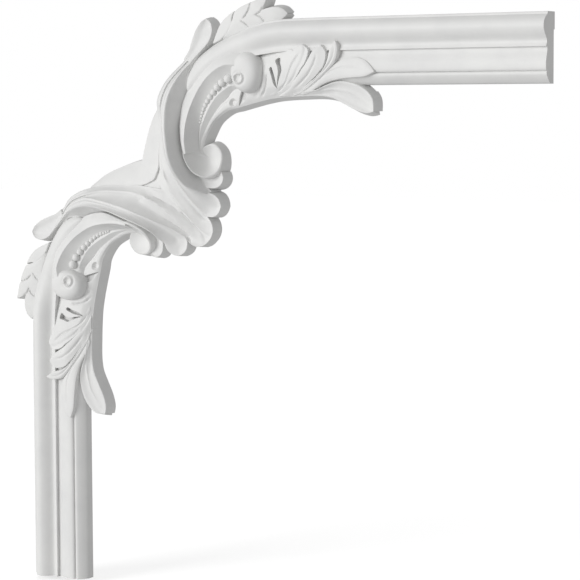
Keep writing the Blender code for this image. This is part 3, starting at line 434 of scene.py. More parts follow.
SPOON_LEAF = (
    ((166.5, 33.5, 13.5), (170.5, 26.5, 11.8), (173.2, 19, 11.4), (175.8, 12, 11.3),
     (179, 6.4, 11.2), (183, 1.8, 11), (187.2, -0.4, 10.8)),
    ((174, 36.5, 16), (182, 28.2, 14.2), (190, 19.6, 12.8), (193.1, 13, 12.3),
     (193.5, 7.6, 11.9), (191.6, 2.6, 11.4)),
    ((0, 0), (0.15, -0.9), (0.35, -2.2), (0.65, -2.5), (0.85, -1.2), (1, 0)),
)


class MouldingSizes(bpy.types.PropertyGroup):
    """Sizes of the casting."""

    arm_length: bpy.props.FloatProperty(
        name="Arm length", description="Length of each arm from the outer corner, in mm",
        default=500.0, min=300.0)
    moulding_width: bpy.props.FloatProperty(
        name="Moulding width", description="Width of the straight moulding, in mm",
        default=57.0, min=40.0)
    draft: bpy.props.FloatProperty(
        name="Draft", description="Share of its height by which a wall leans outward",
        default=0.2, min=0.0, max=1.0)
    rounding: bpy.props.FloatProperty(
        name="Edge rounding", description="Radius of the carving's soft edges, in mm",
        default=0.4, min=0.0, max=2.0)
    bead_count: bpy.props.IntProperty(
        name="Beads", description="Number of beads on the string", default=12, min=3)
    bead_radius: bpy.props.FloatProperty(
        name="Bead radius", description="Radius of the largest bead, in mm",
        default=3.8, min=1.0)
    fineness: bpy.props.IntProperty(
        name="Fineness", description="Faces along a rail between two of its points",
        default=5, min=1, max=10)


class MouldingFinish(bpy.types.PropertyGroup):
    """Colours of the casting, with the painted shade in its recesses, and of the stage."""

    primer: bpy.props.FloatVectorProperty(
        name="Primer", description="Colour of the primed surface", subtype="COLOR", size=4,
        default=(0.76, 0.76, 0.75, 1.0), min=0.0, max=1.0)
    primer_thin: bpy.props.FloatVectorProperty(
        name="Thin primer", description="Colour where the primer lies thinner", subtype="COLOR",
        size=4, default=(0.715, 0.715, 0.71, 1.0), min=0.0, max=1.0)
    # Painted shade: a grey laid into the carving's recesses where shade falls, not a colour of
    # the primer itself
    recess_shade: bpy.props.FloatVectorProperty(
        name="Recess", description="Colour in the narrow recesses", subtype="COLOR", size=4,
        default=(0.50, 0.50, 0.495, 1.0), min=0.0, max=1.0)
    floor: bpy.props.FloatVectorProperty(
        name="Floor", description="Colour of the studio floor", subtype="COLOR", size=4,
        default=(0.94, 0.94, 0.94, 1.0), min=0.0, max=1.0)


def sizes():
    """The casting's sizes as set in the panel."""
    return bpy.context.scene.moulding_sizes


def finish():
    """The colours as set in the panel."""
    return bpy.context.scene.moulding_finish


def carving():
    """The collection that holds the shapes before they are joined."""
    found = bpy.data.collections.get("carving")
    if found is None:
        found = bpy.data.collections.new("carving")
        bpy.context.scene.collection.children.link(found)
    return found


def place(point):
    """World position of a point given as along, down and out."""
    along, down, out = point
    return Vector(((along - FIXING) * MM, -out * MM, (FIXING - down) * MM))


def smooth_curve(points, steps=None, closed=False):
    """Points on the curve that runs smoothly through the given ones."""
    steps = steps or sizes().fineness
    points = np.array(points, float)
    count = len(points)
    result = []
    for span in range(count if closed else count - 1):
        if closed:
            a, b, c, d = (points[(span + k) % count] for k in (-1, 0, 1, 2))
        else:
            a, b, c, d = (points[min(max(span + k, 0), count - 1)] for k in (-1, 0, 1, 2))
        for step in range(steps):
            t = step / steps
            result.append(0.5 * (2 * b + (c - a) * t + (2 * a - 5 * b + 4 * c - d) * t ** 2
                                 + (3 * b - a - 3 * c + d) * t ** 3))
    if not closed:
        result.append(points[-1])
    return np.array(result)


def outward(loop):
    """Unit normals in the wall plane, pointing out of a closed loop of points."""
    before = np.roll(loop, 1, axis=0)
    after = np.roll(loop, -1, axis=0)
    tangent = (after - before)[:, :2]
    length = np.maximum(np.linalg.norm(tangent, axis=1, keepdims=True), 1e-9)
    normal = np.stack([tangent[:, 1], -tangent[:, 0]], axis=1) / length
    area = np.sum(loop[:, 0] * after[:, 1] - loop[:, 1] * after[:, 0])
    return normal * np.sign(area)


def reach(points, line):
    """How far points in the wall's plane lie from a line, and how far along it they do.

    The line is given by its corners.  How far along it is a share of its spans.
    """
    line = np.array(line, float)
    nearest = np.full(points.shape[:-1], np.inf)
    along = np.zeros(points.shape[:-1])
    for k, (start, end) in enumerate(zip(line, line[1:])):
        step = end - start
        share = np.clip((points - start) @ step / (step @ step), 0, 1)
        gap = np.linalg.norm(points - start - share[..., None] * step, axis=-1)
        closer = gap < nearest
        nearest[closer] = gap[closer]
        along[closer] = (k + share[closer]) / (len(line) - 1)
    return nearest, along


def carve(grid, creases):
    """Sink soft creases into a grid: each is a line, its half width and its depth.

    A crease fades toward both ends.  A negative depth makes a ridge.
    """
    grid = np.array(grid, float)
    for line, half_width, depth in creases:
        nearest, along = reach(grid[:, :, :2], smooth_curve(line, 8))
        fade = np.clip(np.minimum(along, 1 - along) / CREASE_FADE, 0, 1)
        fade = fade * fade * (3 - 2 * fade)
        strength = CREASE_ENDS + (1 - CREASE_ENDS) * fade
        grid[:, :, 2] -= depth * strength * np.exp(-(nearest / half_width) ** 2)
    return grid


def closed_piece(name, mesh, collection):
    """Make a piece of a closed mesh, with its faces outward, and put it in the collection."""
    bmesh.ops.triangulate(mesh, faces=mesh.faces)
    bmesh.ops.recalc_face_normals(mesh, faces=mesh.faces)
    data = bpy.data.meshes.new(name)
    mesh.to_mesh(data)
    mesh.free()
    piece = bpy.data.objects.new(name, data)
    collection.objects.link(piece)
    return piece


def solid(name, grid, closed=False, draft=None, rounding=None):
    """A closed solid: the grid is its face, and walls drop from its soft edge to the foot.

    A closed grid runs round a centre: its first column is the edge and its last the centre.
    """
    draft = sizes().draft if draft is None else draft
    rounding = sizes().rounding if rounding is None else rounding
    grid = np.array(grid, float)
    rows, columns = grid.shape[:2]
    edge = [(row, 0) for row in range(rows)]
    if not closed:
        edge += [(rows - 1, column) for column in range(1, columns)]
        edge += [(row, columns - 1) for row in range(rows - 2, -1, -1)]
        edge += [(0, column) for column in range(columns - 2, 0, -1)]
    loop = np.array([grid[spot] for spot in edge])
    normals = outward(loop)

    mesh = bmesh.new()
    top = [[mesh.verts.new(place(grid[r, c])) for c in range(columns)] for r in range(rows)]
    for row in range(rows if closed else rows - 1):
        following = (row + 1) % rows
        for column in range(columns - 1):
            mesh.faces.new((top[row][column], top[following][column],
                            top[following][column + 1], top[row][column + 1]))
    rings = [[top[r][c] for r, c in edge]]
    for turn in ROUNDING_TURNS if rounding else ():
        angle = math.radians(turn)
        ring = []
        for point, normal in zip(loop, normals):
            shifted = point[:2] + normal * rounding * math.sin(angle)
            lowered = point[2] - rounding * (1 - math.cos(angle))
            ring.append(mesh.verts.new(place((*shifted, lowered))))
        rings.append(ring)
    foot = []
    for point, normal in zip(loop, normals):
        shifted = point[:2] + normal * max(rounding, draft * (point[2] + FOOT))
        foot.append(mesh.verts.new(place((*shifted, -FOOT))))
    rings.append(foot)
    count = len(edge)
    for upper, lower in zip(rings, rings[1:]):
        for k in range(count):
            following = (k + 1) % count
            mesh.faces.new((upper[k], lower[k], lower[following], upper[following]))
    if closed:
        middle = mesh.verts.new(place((grid[:, :, 0].mean(), grid[:, :, 1].mean(), -FOOT)))
        for k in range(count):
            mesh.faces.new((foot[k], middle, foot[(k + 1) % count]))
    else:
        known = dict(zip(edge, foot))
        base = [[known.get((r, c)) or mesh.verts.new(place((*grid[r, c, :2], -FOOT)))
                 for c in range(columns)] for r in range(rows)]
        for r in range(rows - 1):
            for c in range(columns - 1):
                mesh.faces.new((base[r][c + 1], base[r + 1][c + 1], base[r + 1][c], base[r][c]))
    bmesh.ops.remove_doubles(mesh, verts=mesh.verts, dist=SAME_POINT)
    bmesh.ops.dissolve_degenerate(mesh, edges=mesh.edges, dist=SAME_POINT / 2)
    return closed_piece(name, mesh, carving())


def across(rails, gaps, bulges=None, steps=None):
    """A grid over rails side by side.

    Each gap between two rails has a number of parts and a depth by which it is hollowed.
    Bulges push the gaps of the last rows outward, so that the sheet ends in scallops.
    """
    steps = steps or sizes().fineness
    lines = [smooth_curve(rail, steps) for rail in rails]
    rows = len(lines[0])
    grid = []
    for row in range(rows):
        line = [lines[0][row]]
        swell = max(0.0, 1 - (rows - 1 - row) / (SCALLOP_SPANS * steps)) ** SCALLOP_POWER
        for gap in range(len(lines) - 1):
            parts, depth = gaps[gap]
            start, end = lines[gap][row], lines[gap + 1][row]
            side = np.array([start[1] - end[1], end[0] - start[0], 0.0])
            side /= max(np.linalg.norm(side), 1e-9)
            for part in range(1, parts + 1):
                t = part / parts
                arch = 4 * t * (1 - t)
                point = start * (1 - t) + end * t
                point[2] -= depth * arch * (1 - swell ** 3)
                if bulges:
                    point += side * bulges[gap] * arch * swell
                line.append(point)
        grid.append(line)
    return grid


def sheet(name, rails, parts=1, steps=None):
    """A solid under rails side by side, with upright walls, a sharp edge and flat gaps."""
    gaps = [(parts, 0.0)] * (len(rails) - 1)
    solid(name, across(rails, gaps, steps=steps), draft=0.0, rounding=0.0)


def blade(name, left, right, section, creases=(), parts=14, draft=None, steps=None):
    """A leaf between two edges.  The right one ends where the left one does, at the tip.

    The section lists (share of the way across, lift); lifts shrink where the leaf narrows.
    """
    left, right = (smooth_curve(edge, steps) for edge in (left, (*right, left[-1])))
    widths = np.linalg.norm((right - left)[:, :2], axis=1)
    shares = np.linspace(0, 1, parts + 1)
    knots = smooth_curve(section, 6)
    lifts = np.interp(shares, knots[:, 0], knots[:, 1])
    grid = []
    for start, end, width in zip(left, right, widths):
        fade = min(1.0, LEAF_FULLNESS * width / widths.max())
        row = []
        for share, lift in zip(shares, lifts):
            point = start * (1 - share) + end * share
            point[2] += lift * fade
            row.append(point)
        grid.append(row)
    return solid(name, carve(grid, creases), draft=draft)


def bowl(name, wall, rim, centre, rings, power):
    """A dish inside a closed rim; the power shapes how its height falls inward."""
    wall = smooth_curve(wall, closed=True)
    rim = smooth_curve(rim, closed=True)
    centre = np.array(centre, float)
    grid = []
    for outside, edge in zip(wall, rim):
        edge = edge * RIM_INSET + outside * (1 - RIM_INSET) + (0, 0, RIM_RISE)
        shoulder = outside * (1 - SHOULDER_INSET) + edge * SHOULDER_INSET
        row = [outside, shoulder + (0, 0, SHOULDER_RISE), edge]
        for ring in range(1, rings + 1):
            t = 1 - ring / rings
            point = centre + (edge - centre) * t
            point[2] = centre[2] + (edge[2] - centre[2]) * t ** power
            row.append(point)
        grid.append(row)
    return solid(name, grid, closed=True)


def slot(name, left, right, left_floor, right_floor):
    """A cutter between two edges that meet at their ends; its floor slopes between them."""
    left, right = (smooth_curve([(*point, SLOT_TOP) for point in edge], 6)
                   for edge in (left, right))
    mesh = bmesh.new()
    rings = []
    widths = np.linalg.norm(left - right, axis=1)
    for start, end, width in zip(left, right, widths):
        slope = min(1.0, CUT_FULLNESS * width / widths.max())
        lowest = right_floor - (right_floor - left_floor) * slope
        corners = (start, end, (*end[:2], right_floor), (*start[:2], lowest))
        rings.append([mesh.verts.new(place(corner)) for corner in corners])
    for ring, following in zip(rings, rings[1:]):
        for k in range(4):
            mesh.faces.new((ring[k], following[k], following[(k + 1) % 4], ring[(k + 1) % 4]))
    mesh.faces.new(rings[0])
    mesh.faces.new(rings[-1][::-1])
    return closed_piece(name, mesh, bpy.context.scene.collection)


def combine(piece, operation, other=None, group=None):
    """Join the piece with, or cut it by, another solid or a collection of solids."""
    modifier = piece.modifiers.new(operation.lower(), "BOOLEAN")
    modifier.operation = operation
    modifier.solver = "MANIFOLD"
    if group:
        modifier.operand_type = "COLLECTION"
        modifier.collection = group
    else:
        modifier.object = other
    bpy.context.view_layer.objects.active = piece
    bpy.ops.object.modifier_apply(modifier=modifier.name)
    if other:
        bpy.data.objects.remove(other, do_unlink=True)


def block(low, high):
    """A box between two corners given as along, down and out."""
    a, b = place(low), place(high)
    bpy.ops.object.select_all(action="DESELECT")
    bpy.ops.mesh.primitive_cube_add(size=1.0, location=(a + b) / 2)
    piece = bpy.context.object
    piece.scale = [abs(q - p) for p, q in zip(a, b)]
    bpy.ops.object.transform_apply(location=False, rotation=False, scale=True)
    return piece


def vertex_values(mesh, name):
    """The places (co) or the normals of a mesh's vertices, one in each row."""
    values = np.zeros(len(mesh.vertices) * 3)
    mesh.vertices.foreach_get(name, values)
    return values.reshape(-1, 3)


class CORNER_OT_mouldings(bpy.types.Operator):
    """Build the straight moulding and the bead that bends into the carving"""

    bl_idname = "corner.mouldings"
    bl_label = "Mouldings"

    def execute(self, context):
        length, width = sizes().arm_length, sizes().moulding_width
        band = np.array(BAND)
        outer = [(length, BEAD_OUTER[0][1]), *BEAD_OUTER]
        inner = [(length, BEAD_INNER[0][1]), *BEAD_INNER]
        rails = []
        for offset, height in [*LIP, *smooth_curve(BEAD, 2)]:
            share = offset / BEAD_WIDTH
            round_height = np.interp(offset, band[:, 0], band[:, 1])
            rails.append([(start[0] * (1 - share) + end[0] * share,
                           start[1] * (1 - share) + end[1] * share,
                           height * (1 - blend) + round_height * blend - drop)
                          for start, end, blend, drop
                          in zip(outer, inner, BEAD_BLENDS, BEAD_DROPS)])
        sheet("bead", rails)
        edge = [*INNER_EDGE, (width, INNER_EDGE_HEIGHT)]
        section = [*LEDGE, *smooth_curve(ROUND, 3), *smooth_curve(edge, 3)]
        sheet("panel", [[(length, down, out)] + [(along, down, out - dip)
                                                 for along, dip in PANEL_DIPS]
                        for down, out in section], steps=1)
        sheet("plate", PLATE, parts=2, steps=1)
        return {"FINISHED"}


class CORNER_OT_shell(bpy.types.Operator):
    """Build the rolled shell with its flutes, its scalloped lobes and the band outside it"""

    bl_idname = "corner.shell"
    bl_label = "Shell and corner band"

    def execute(self, context):
        *outer, rim, foot = SHELL_RAILS
        brow = np.array(rim) + BROW_SHIFT
        rails = [*outer, rim, brow, foot]
        solid("shell", across(rails, SHELL_GAPS, SHELL_SCALLOPS, steps=8), draft=0.1)
        blade("inner_lobe", *INNER_LOBE, draft=0.15, steps=8)
        solid("corner_band", across(CORNER_BAND, [(8, -0.7)]))
        solid("facet", across(FACET, [(3, 0.0)]))
        return {"FINISHED"}


class CORNER_OT_scroll(bpy.types.Operator):
    """Build the inner ribbon, the volute, the curled ball and the string of beads"""

    bl_idname = "corner.scroll"
    bl_label = "Scroll and beads"

    def execute(self, context):
        solid("ribbon", across(RIBBON_RAILS, RIBBON_GAPS), draft=0.0, rounding=0.0)
        bowl("volute", VOLUTE_WALL, VOLUTE_RIM, VOLUTE_CENTRE, rings=10, power=2.2)
        self.curl()
        self.beads()
        return {"FINISHED"}

    def curl(self):
        """The ball that the ribbon curls into, with its small ringed eye."""
        centre, radii, eye = (np.array(pair) for pair in (BALL_CENTRE, BALL_RADII, EYE_CENTRE))
        grid = []
        for turn in np.linspace(0, 2 * math.pi, 80, endpoint=False):
            aim = np.array([math.cos(turn), math.sin(turn)])
            start, slope = (eye - centre) / radii, aim / radii
            square = slope @ slope
            half = start @ slope
            # The way from the eye to the ball's edge, and to the ring, which coils inward
            edge = (-half + math.sqrt(half * half - square * (start @ start - 1))) / square
            closing = RING_CLOSING * ((turn + RING_START) % (2 * math.pi)) / (2 * math.pi)
            coil = RING_RADIUS - closing
            ways = [EYE_RADIUS + (edge - EYE_RADIUS) * share for share in BALL_RINGS]
            row = []
            for way in (*ways, *EYE_RINGS):
                spot = eye + aim * way
                share = min(1.0, np.linalg.norm((spot - centre) / radii))
                height = BALL_FOOT + BALL_RISE * (1 - share ** BALL_TOP) ** (1 / BALL_SIDE)
                height -= BALL_TILT * (spot[0] - centre[0])
                height += RING_RISE * math.exp(-((way - coil) / RING_WIDTH) ** 2)
                groove = (way - coil - GROOVE_GAP) / GROOVE_WIDTH
                height -= GROOVE_DEPTH * math.exp(-groove ** 2)
                if way < coil:
                    height -= DISH_DEPTH * (1 - (way / coil) ** 3)
                row.append((*spot, height))
            grid.append(row)
        solid("curl", grid, closed=True, rounding=0.0)

    def beads(self):
        """A string of beads that shrink along the channel."""
        path = smooth_curve(BEAD_STRING, 40)
        lengths = np.concatenate([[0], np.cumsum(np.linalg.norm(np.diff(path, axis=0), axis=1))])
        radii = [sizes().bead_radius * BEAD_SHRINK ** k for k in range(sizes().bead_count)]
        spans = [0.0]
        for small, large in zip(radii[1:], radii):
            spans.append(spans[-1] + small + large)
        for radius, span in zip(radii, spans):
            at = span * lengths[-1] / spans[-1]
            centre = [np.interp(at, lengths, path[:, axis]) for axis in range(3)]
            bpy.ops.object.select_all(action="DESELECT")
            bpy.ops.mesh.primitive_uv_sphere_add(segments=20, ring_count=12,
                                                 radius=radius * MM, location=place(centre),
                                                 rotation=(math.radians(90), 0, 0))
            ball = bpy.context.object
            bpy.ops.object.transform_apply(location=True, rotation=True, scale=True)
            for collection in list(ball.users_collection):
                collection.objects.unlink(ball)
            carving().objects.link(ball)


class CORNER_OT_leaves(bpy.types.Operator):
    """Build the long leaf with its leaflets, its two large tips and its carved cuts"""

    bl_idname = "corner.leaves"
    bl_label = "Long leaf"

    def execute(self, context):
        self.body()
        self.leaflets()
        return {"FINISHED"}

    def body(self):
        """The long leaf's own surface, from the volute to the roots of its leaflets."""
        grid = across(LEAF_RAILS, LEAF_GAPS, steps=15)
        piece = solid("leaf_body", carve(grid, LEAF_CREASES), draft=0.27)
        bpy.ops.object.select_all(action="DESELECT")
        floor, rim = PIT_RADII
        bpy.ops.mesh.primitive_cone_add(vertices=32, radius1=floor * MM, radius2=rim * MM,
                                        depth=PIT_DEPTH * MM, location=place(PIT_CENTRE),
                                        rotation=(math.radians(90), 0, 0))
        combine(piece, "DIFFERENCE", bpy.context.object)
        for cut in LEAF_CUTS:
            combine(piece, "DIFFERENCE", slot(*cut))

    def leaflets(self):
        """Leaflets that sweep from the long leaf over the moulding, and its large tips."""
        for name, left, right, section, parts, draft, steps in LEAFLETS:
            blade(name, left, right, section, LEAF_CREASES, parts, draft, steps)


class CORNER_OT_laurel(bpy.types.Operator):
    """Build the laurel leaves outside the bead and the spoon leaf beside them"""

    bl_idname = "corner.laurel"
    bl_label = "Laurel and spoon leaf"

    def execute(self, context):
        blade(*LAUREL_LOW, LAUREL_SECTION)
        for leaf in LAUREL_CREASED:
            blade(*leaf, LAUREL_SECTION, LAUREL_CREASES, parts=24, steps=9)
        grid = across(LAUREL_BASE, [(44, -0.7)], steps=14)
        solid("laurel_base", carve(grid, LAUREL_CREASES))
        blade("spoon_leaf", *SPOON_LEAF)
        return {"FINISHED"}


class CORNER_OT_casting(bpy.types.Operator):
    """Join the shapes into one casting, add the other arm and give it its finish"""

    bl_idname = "corner.casting"
    bl_label = "Join the casting"

    def execute(self, context):
        group = carving()
        piece, *others = group.objects
        group.objects.unlink(piece)
        context.scene.collection.objects.link(piece)
        combine(piece, "UNION", group=group)
        for thing in others:
            bpy.data.objects.remove(thing, do_unlink=True)
        bpy.data.collections.remove(group)
        length, width = sizes().arm_length, sizes().moulding_width
        # First all that lies behind the wall plane, then the relief in the arm's back
        combine(piece, "DIFFERENCE", block((0, -60, -20), (length + 20, 300, 0)))
        combine(piece, "DIFFERENCE", block((REBATE_ALONG, REBATE_START, -2),
                                           (length + 5, width + 5, REBATE_DEPTH)))
        self.mirror(piece)
        self.fold(piece)
        piece.name = piece.data.name = "casting_finish"
        self.soften(piece)
        piece.data.materials.clear()
        piece.data.materials.append(primer_material())
        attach(piece, "root")
        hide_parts(NODE)
        return {"FINISHED"}

    def mirror(self, piece):
        """Cut the piece at the diagonal, fill its back anew and give it its other arm."""
        wide, behind, ahead = 400, 30, 90
        wedge = block((-wide, -wide, -behind), (wide, wide, ahead))
        wedge.rotation_euler = (0, math.radians(45), 0)
        wedge.location = (Vector((-1, 0, -1)).normalized() * wide * MM
                          + Vector((0, -(ahead - behind) / 2 * MM, 0)))
        combine(piece, "DIFFERENCE", wedge)
        mesh = bmesh.new()
        mesh.from_mesh(piece.data)
        back = [face for face in mesh.faces if face.normal.y > SAME_WAY
                and all(abs(corner.co.y) < ON_BACK for corner in face.verts)]
        bmesh.ops.delete(mesh, geom=back, context="FACES")
        bmesh.ops.triangle_fill(mesh, use_beauty=True, normal=(0, 1, 0),
                                edges=[edge for edge in mesh.edges if edge.is_boundary])
        diagonal = Vector((1, 0, 1)).normalized()
        cut = [face for face in mesh.faces
               if abs(face.calc_center_median().dot(diagonal)) < ON_DIAGONAL
               and abs(face.normal.dot(diagonal)) > SAME_WAY]
        bmesh.ops.delete(mesh, geom=cut, context="FACES")
        mesh.to_mesh(piece.data)
        mesh.free()
        guide = bpy.data.objects.new("diagonal", None)
        guide.rotation_euler = (0, math.radians(45), 0)
        bpy.context.scene.collection.objects.link(guide)
        modifier = piece.modifiers.new("other_arm", "MIRROR")
        modifier.mirror_object = guide
        modifier.use_axis = (False, False, True)
        modifier.merge_threshold = AT_SEAM
        bpy.context.view_layer.objects.active = piece
        bpy.ops.object.modifier_apply(modifier=modifier.name)
        bpy.data.objects.remove(guide, do_unlink=True)

    def fold(self, piece):
        """Raise and lower the shell along its folds, which differ on its two sides."""
        mesh = piece.data
        points = vertex_values(mesh, "co")
        outward_share = -vertex_values(mesh, "normal")[:, 1]
        facing = np.clip((outward_share - FOLD_FACING) / FOLD_FACING_EASE, 0.0, 1.0)
        flat = np.column_stack([points[:, 0] / MM + FIXING, FIXING - points[:, 2] / MM])
        aside = flat[:, 1] - flat[:, 0]
        along = flat.sum(axis=1) / 2
        rows = np.arange(len(flat))
        for folds, sign in ((FOLDS_LOWER, 1.0), (FOLDS_UPPER, -1.0)):
            # Between two lines the height passes evenly from one to the other
            near = np.column_stack([reach(flat, line)[0] for line, _ in folds])
            order = np.argsort(near, axis=1)[:, :2]
            first, second = (near[rows, order[:, k]] for k in range(2))
            raised = np.array([height for _, height in folds])
            change = second * raised[order[:, 0]] + first * raised[order[:, 1]]
            change /= np.maximum(first + second, 1e-6)
            change *= np.clip(1.0 - (first - FOLD_HOLD) / FOLD_FADE, 0.0, 1.0)
            change *= np.clip(0.5 + sign * aside / FOLD_SEAM, 0.0, 1.0)
            change *= np.clip((along - FOLD_START) / FOLD_EASE, 0.0, 1.0)
            change *= np.clip((FOLD_END - along) / FOLD_EASE, 0.0, 1.0)
            points[:, 1] -= change * facing * MM
        mesh.vertices.foreach_set("co", points.ravel())
        mesh.update()

    def soften(self, piece):
        """Shade the carving smooth, and mark its recesses for the painted shade that darkens
        them in the finish.
        """
        mesh = piece.data
        mesh.shade_smooth()
        mesh.set_sharp_from_angle(angle=math.radians(SHARP_TURN))
        points, normals = (vertex_values(mesh, name) for name in ("co", "normal"))
        ends = np.zeros(len(mesh.edges) * 2, int)
        mesh.edges.foreach_get("vertices", ends)
        ends = ends.reshape(-1, 2)
        offset = points[ends[:, 1]] - points[ends[:, 0]]
        length = np.maximum(np.linalg.norm(offset, axis=1), 1e-7)
        bend = np.zeros(len(points))
        weight = np.full(len(points), 1e-9)
        for here, sign in ((0, 1.0), (1, -1.0)):
            slope = sign * np.einsum("ij,ij->i", offset, normals[ends[:, here]]) / length
            np.add.at(bend, ends[:, here], slope)
            np.add.at(weight, ends[:, here], 1.0)
        bend /= weight
        # The flat back and its relief have few corners, so a painted-shade mark there would
        # spread over them
        bend[points[:, 1] > -1.1 * REBATE_DEPTH * MM] = 0.0
        # How concave the surface is at each point, kept as a mask that darkens the recesses as
        # painted shade
        attribute = mesh.attributes.new("hollow", "FLOAT", "POINT")
        attribute.data.foreach_set("value", np.clip(bend, -1, 1).astype(np.float32))


def node(tree, kind, place_x, place_y, **values):
    """Add a shader node with its settings."""
    made = tree.nodes.new(kind)
    made.location = (place_x, place_y)
    for name, value in values.items():
        if name in made.inputs:
            made.inputs[name].default_value = value
        else:
            setattr(made, name, value)
    return made


def wire(tree, *links):
    """Join sockets: each link gives a node and its output, then a node and its input."""
    for source, output, target, entry in links:
        tree.links.new(source.outputs[output], target.inputs[entry])


def blank_material(name):
    """A new material, with its node tree and its shader."""
    material = bpy.data.materials.new(name)
    material.use_nodes = True
    tree = material.node_tree
    return material, tree, tree.nodes["Principled BSDF"]


def primer_material():
    """Matt white primer on a moulded casting: even, with faint mottling and a fine skin, and
    with painted shade darkening its recesses.
    """
    material, tree, shader = blank_material("white_primer")
    coords = node(tree, "ShaderNodeTexCoord", -1400, 0)
    mottle = node(tree, "ShaderNodeTexNoise", -1150, 250, Scale=38.0, Detail=4.0, Roughness=0.6)
    skin = node(tree, "ShaderNodeTexNoise", -1150, -250, Scale=1500.0, Detail=3.0,
                Roughness=0.55)
    wave = node(tree, "ShaderNodeTexNoise", -1150, -500, Scale=110.0, Detail=2.0)
    spread = node(tree, "ShaderNodeMapRange", -980, 250, **{"From Min": 0.35, "From Max": 0.7})
    tone = node(tree, "ShaderNodeMix", -800, 300, data_type="RGBA")
    tone.inputs[MIX_FIRST].default_value = finish().primer
    tone.inputs[MIX_SECOND].default_value = finish().primer_thin
    # Painted shade: the concavity mask darkens the recesses toward a grey, standing in for the
    # shade that falls in them
    hollow = node(tree, "ShaderNodeAttribute", -1150, 550, attribute_name="hollow")
    recess_shade = node(tree, "ShaderNodeMapRange", -800, 550,
                  **{"From Min": 0.1, "From Max": 0.5, "To Max": 0.6})
    colour = node(tree, "ShaderNodeMix", -500, 350, data_type="RGBA")
    colour.inputs[MIX_SECOND].default_value = finish().recess_shade
    gloss = node(tree, "ShaderNodeMapRange", -500, 50, **{"To Min": 0.5, "To Max": 0.64})
    uneven = node(tree, "ShaderNodeBump", -500, -400, Strength=0.15, Distance=0.0003)
    fine = node(tree, "ShaderNodeBump", -250, -300, Strength=0.12, Distance=0.00005)
    wire(tree,
         (coords, "Object", mottle, "Vector"), (coords, "Object", skin, "Vector"),
         (coords, "Object", wave, "Vector"),
         (mottle, "Fac", spread, "Value"), (spread, "Result", tone, 0),
         (hollow, "Fac", recess_shade, "Value"), (recess_shade, "Result", colour, 0),
         (tone, MIX_OUT, colour, MIX_FIRST), (colour, MIX_OUT, shader, "Base Color"),
         (mottle, "Fac", gloss, "Value"), (gloss, "Result", shader, "Roughness"),
         (wave, "Fac", uneven, "Height"), (skin, "Fac", fine, "Height"),
         (uneven, "Normal", fine, "Normal"), (fine, "Normal", shader, "Normal"))
    shader.inputs["Specular IOR Level"].default_value = 0.35
    return material


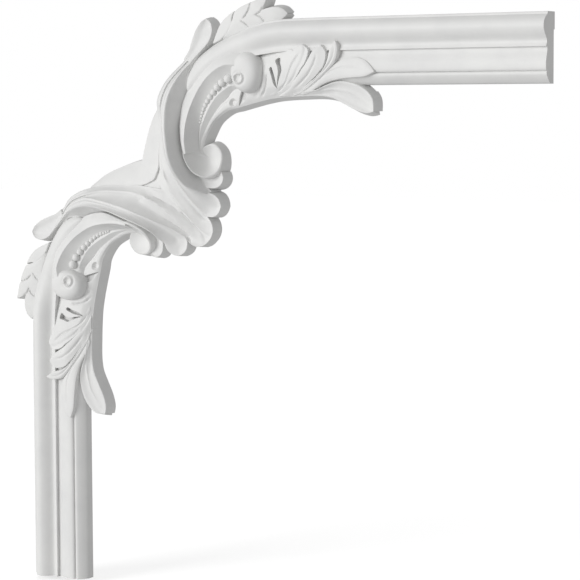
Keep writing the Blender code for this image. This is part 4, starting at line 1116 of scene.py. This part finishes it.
class CORNER_OT_stage(bpy.types.Operator):
    """Set up the pale floor, the soft studio light and the camera"""

    bl_idname = "corner.stage"
    bl_label = "Stage"

    def execute(self, context):
        self.floor()
        self.lights(context)
        self.camera(context)
        return {"FINISHED"}

    def floor(self):
        """A wide pale floor below the lower arm."""
        low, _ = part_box(NODE)
        bpy.ops.object.select_all(action="DESELECT")
        bpy.ops.mesh.primitive_plane_add(size=12.0, location=(0, 0, low.z - 0.004))
        floor = bpy.context.object
        bpy.ops.object.transform_apply(location=True, rotation=True, scale=True)
        floor.name = "studio_floor"
        material, tree, shader = blank_material("floor_paint")
        coords = node(tree, "ShaderNodeTexCoord", -900, 0)
        grain = node(tree, "ShaderNodeTexNoise", -700, 0, Scale=4.0, Detail=3.0)
        tone = node(tree, "ShaderNodeMix", -400, 0, data_type="RGBA")
        tone.inputs[MIX_FIRST].default_value = finish().floor
        darker = [0.97 * value for value in finish().floor[:3]]
        tone.inputs[MIX_SECOND].default_value = (*darker, 1.0)
        path = node(tree, "ShaderNodeLightPath", -700, -300)
        glow = node(tree, "ShaderNodeMath", -400, -300, operation="MULTIPLY")
        glow.inputs[1].default_value = FLOOR_GLOW
        wire(tree, (coords, "Object", grain, "Vector"), (grain, "Fac", tone, 0),
             (tone, MIX_OUT, shader, "Base Color"), (path, "Is Camera Ray", glow, 0),
             (glow, 0, shader, "Emission Strength"))
        shader.inputs["Roughness"].default_value = 0.9
        shader.inputs["Specular IOR Level"].default_value = 0.1
        shader.inputs["Emission Color"].default_value = WHITE
        floor.data.materials.append(material)

    def lights(self, context):
        """A broad light from the upper left and an even pale surround."""
        lamp = bpy.data.lights.new("key", "SUN")
        lamp.angle = math.radians(KEY_WIDTH)
        lamp.energy = KEY_STRENGTH
        key = bpy.data.objects.new("key", lamp)
        key.rotation_euler = Vector(KEY_AIM).to_track_quat("-Z", "Y").to_euler()
        context.scene.collection.objects.link(key)
        world = bpy.data.worlds.new("surround")
        context.scene.world = world
        world.use_nodes = True
        tree = world.node_tree
        sky = tree.nodes["Background"]
        sky.inputs["Color"].default_value = WHITE
        sky.inputs["Strength"].default_value = SURROUND_STRENGTH
        seen = node(tree, "ShaderNodeBackground", 0, -200, Strength=1.0)
        seen.inputs["Color"].default_value = WHITE
        path = node(tree, "ShaderNodeLightPath", -200, 200)
        choose = node(tree, "ShaderNodeMixShader", 250, 0)
        wire(tree, (path, "Is Camera Ray", choose, 0), (sky, 0, choose, 1),
             (seen, 0, choose, 2), (choose, 0, tree.nodes["World Output"], "Surface"))
        context.scene.view_settings.view_transform = "Standard"

    def camera(self, context):
        """The camera of the photograph."""
        data = bpy.data.cameras.new("camera")
        data.sensor_width = 36.0
        data.lens = CAMERA_LENS
        data.shift_x, data.shift_y = CAMERA_SHIFT
        data.clip_start = 0.05
        camera = bpy.data.objects.new("camera", data)
        camera.location = CAMERA_PLACE
        turn = (Matrix.Rotation(CAMERA_YAW, 3, "Z")
                @ Matrix.Rotation(math.radians(90) - CAMERA_PITCH, 3, "X")
                @ Matrix.Rotation(-CAMERA_ROLL, 3, "Z"))
        camera.rotation_euler = turn.to_euler()
        context.scene.collection.objects.link(camera)
        context.scene.camera = camera


class CORNER_PT_panel(bpy.types.Panel):
    """The corner's sizes, colours and making steps"""

    bl_label = "Moulding corner"
    bl_idname = "CORNER_PT_panel"
    bl_space_type = "VIEW_3D"
    bl_region_type = "UI"
    bl_category = "Moulding corner"

    def draw(self, context):
        layout = self.layout
        for group in (context.scene.moulding_sizes, context.scene.moulding_finish):
            for name in group.__annotations__:
                layout.prop(group, name)
        for step in STEPS:
            layout.operator(step.bl_idname)


STEPS = (CORNER_OT_mouldings, CORNER_OT_shell, CORNER_OT_scroll, CORNER_OT_leaves,
         CORNER_OT_laurel, CORNER_OT_casting, CORNER_OT_stage)
CLASSES = (MouldingSizes, MouldingFinish, *STEPS, CORNER_PT_panel)


def register():
    """Register the classes and the scene's properties."""
    for item in CLASSES:
        bpy.utils.register_class(item)
    bpy.types.Scene.moulding_sizes = bpy.props.PointerProperty(type=MouldingSizes)
    bpy.types.Scene.moulding_finish = bpy.props.PointerProperty(type=MouldingFinish)


def unregister():
    """Remove the classes and the scene's properties."""
    del bpy.types.Scene.moulding_sizes
    del bpy.types.Scene.moulding_finish
    for item in reversed(CLASSES):
        bpy.utils.unregister_class(item)


def main():
    """Build the casting and its stage."""
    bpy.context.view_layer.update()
    register()
    bpy.ops.corner.mouldings()
    bpy.ops.corner.shell()
    bpy.ops.corner.scroll()
    bpy.ops.corner.leaves()
    bpy.ops.corner.laurel()
    bpy.ops.corner.casting()
    bpy.ops.corner.stage()


if __name__ == "__main__":
    main()
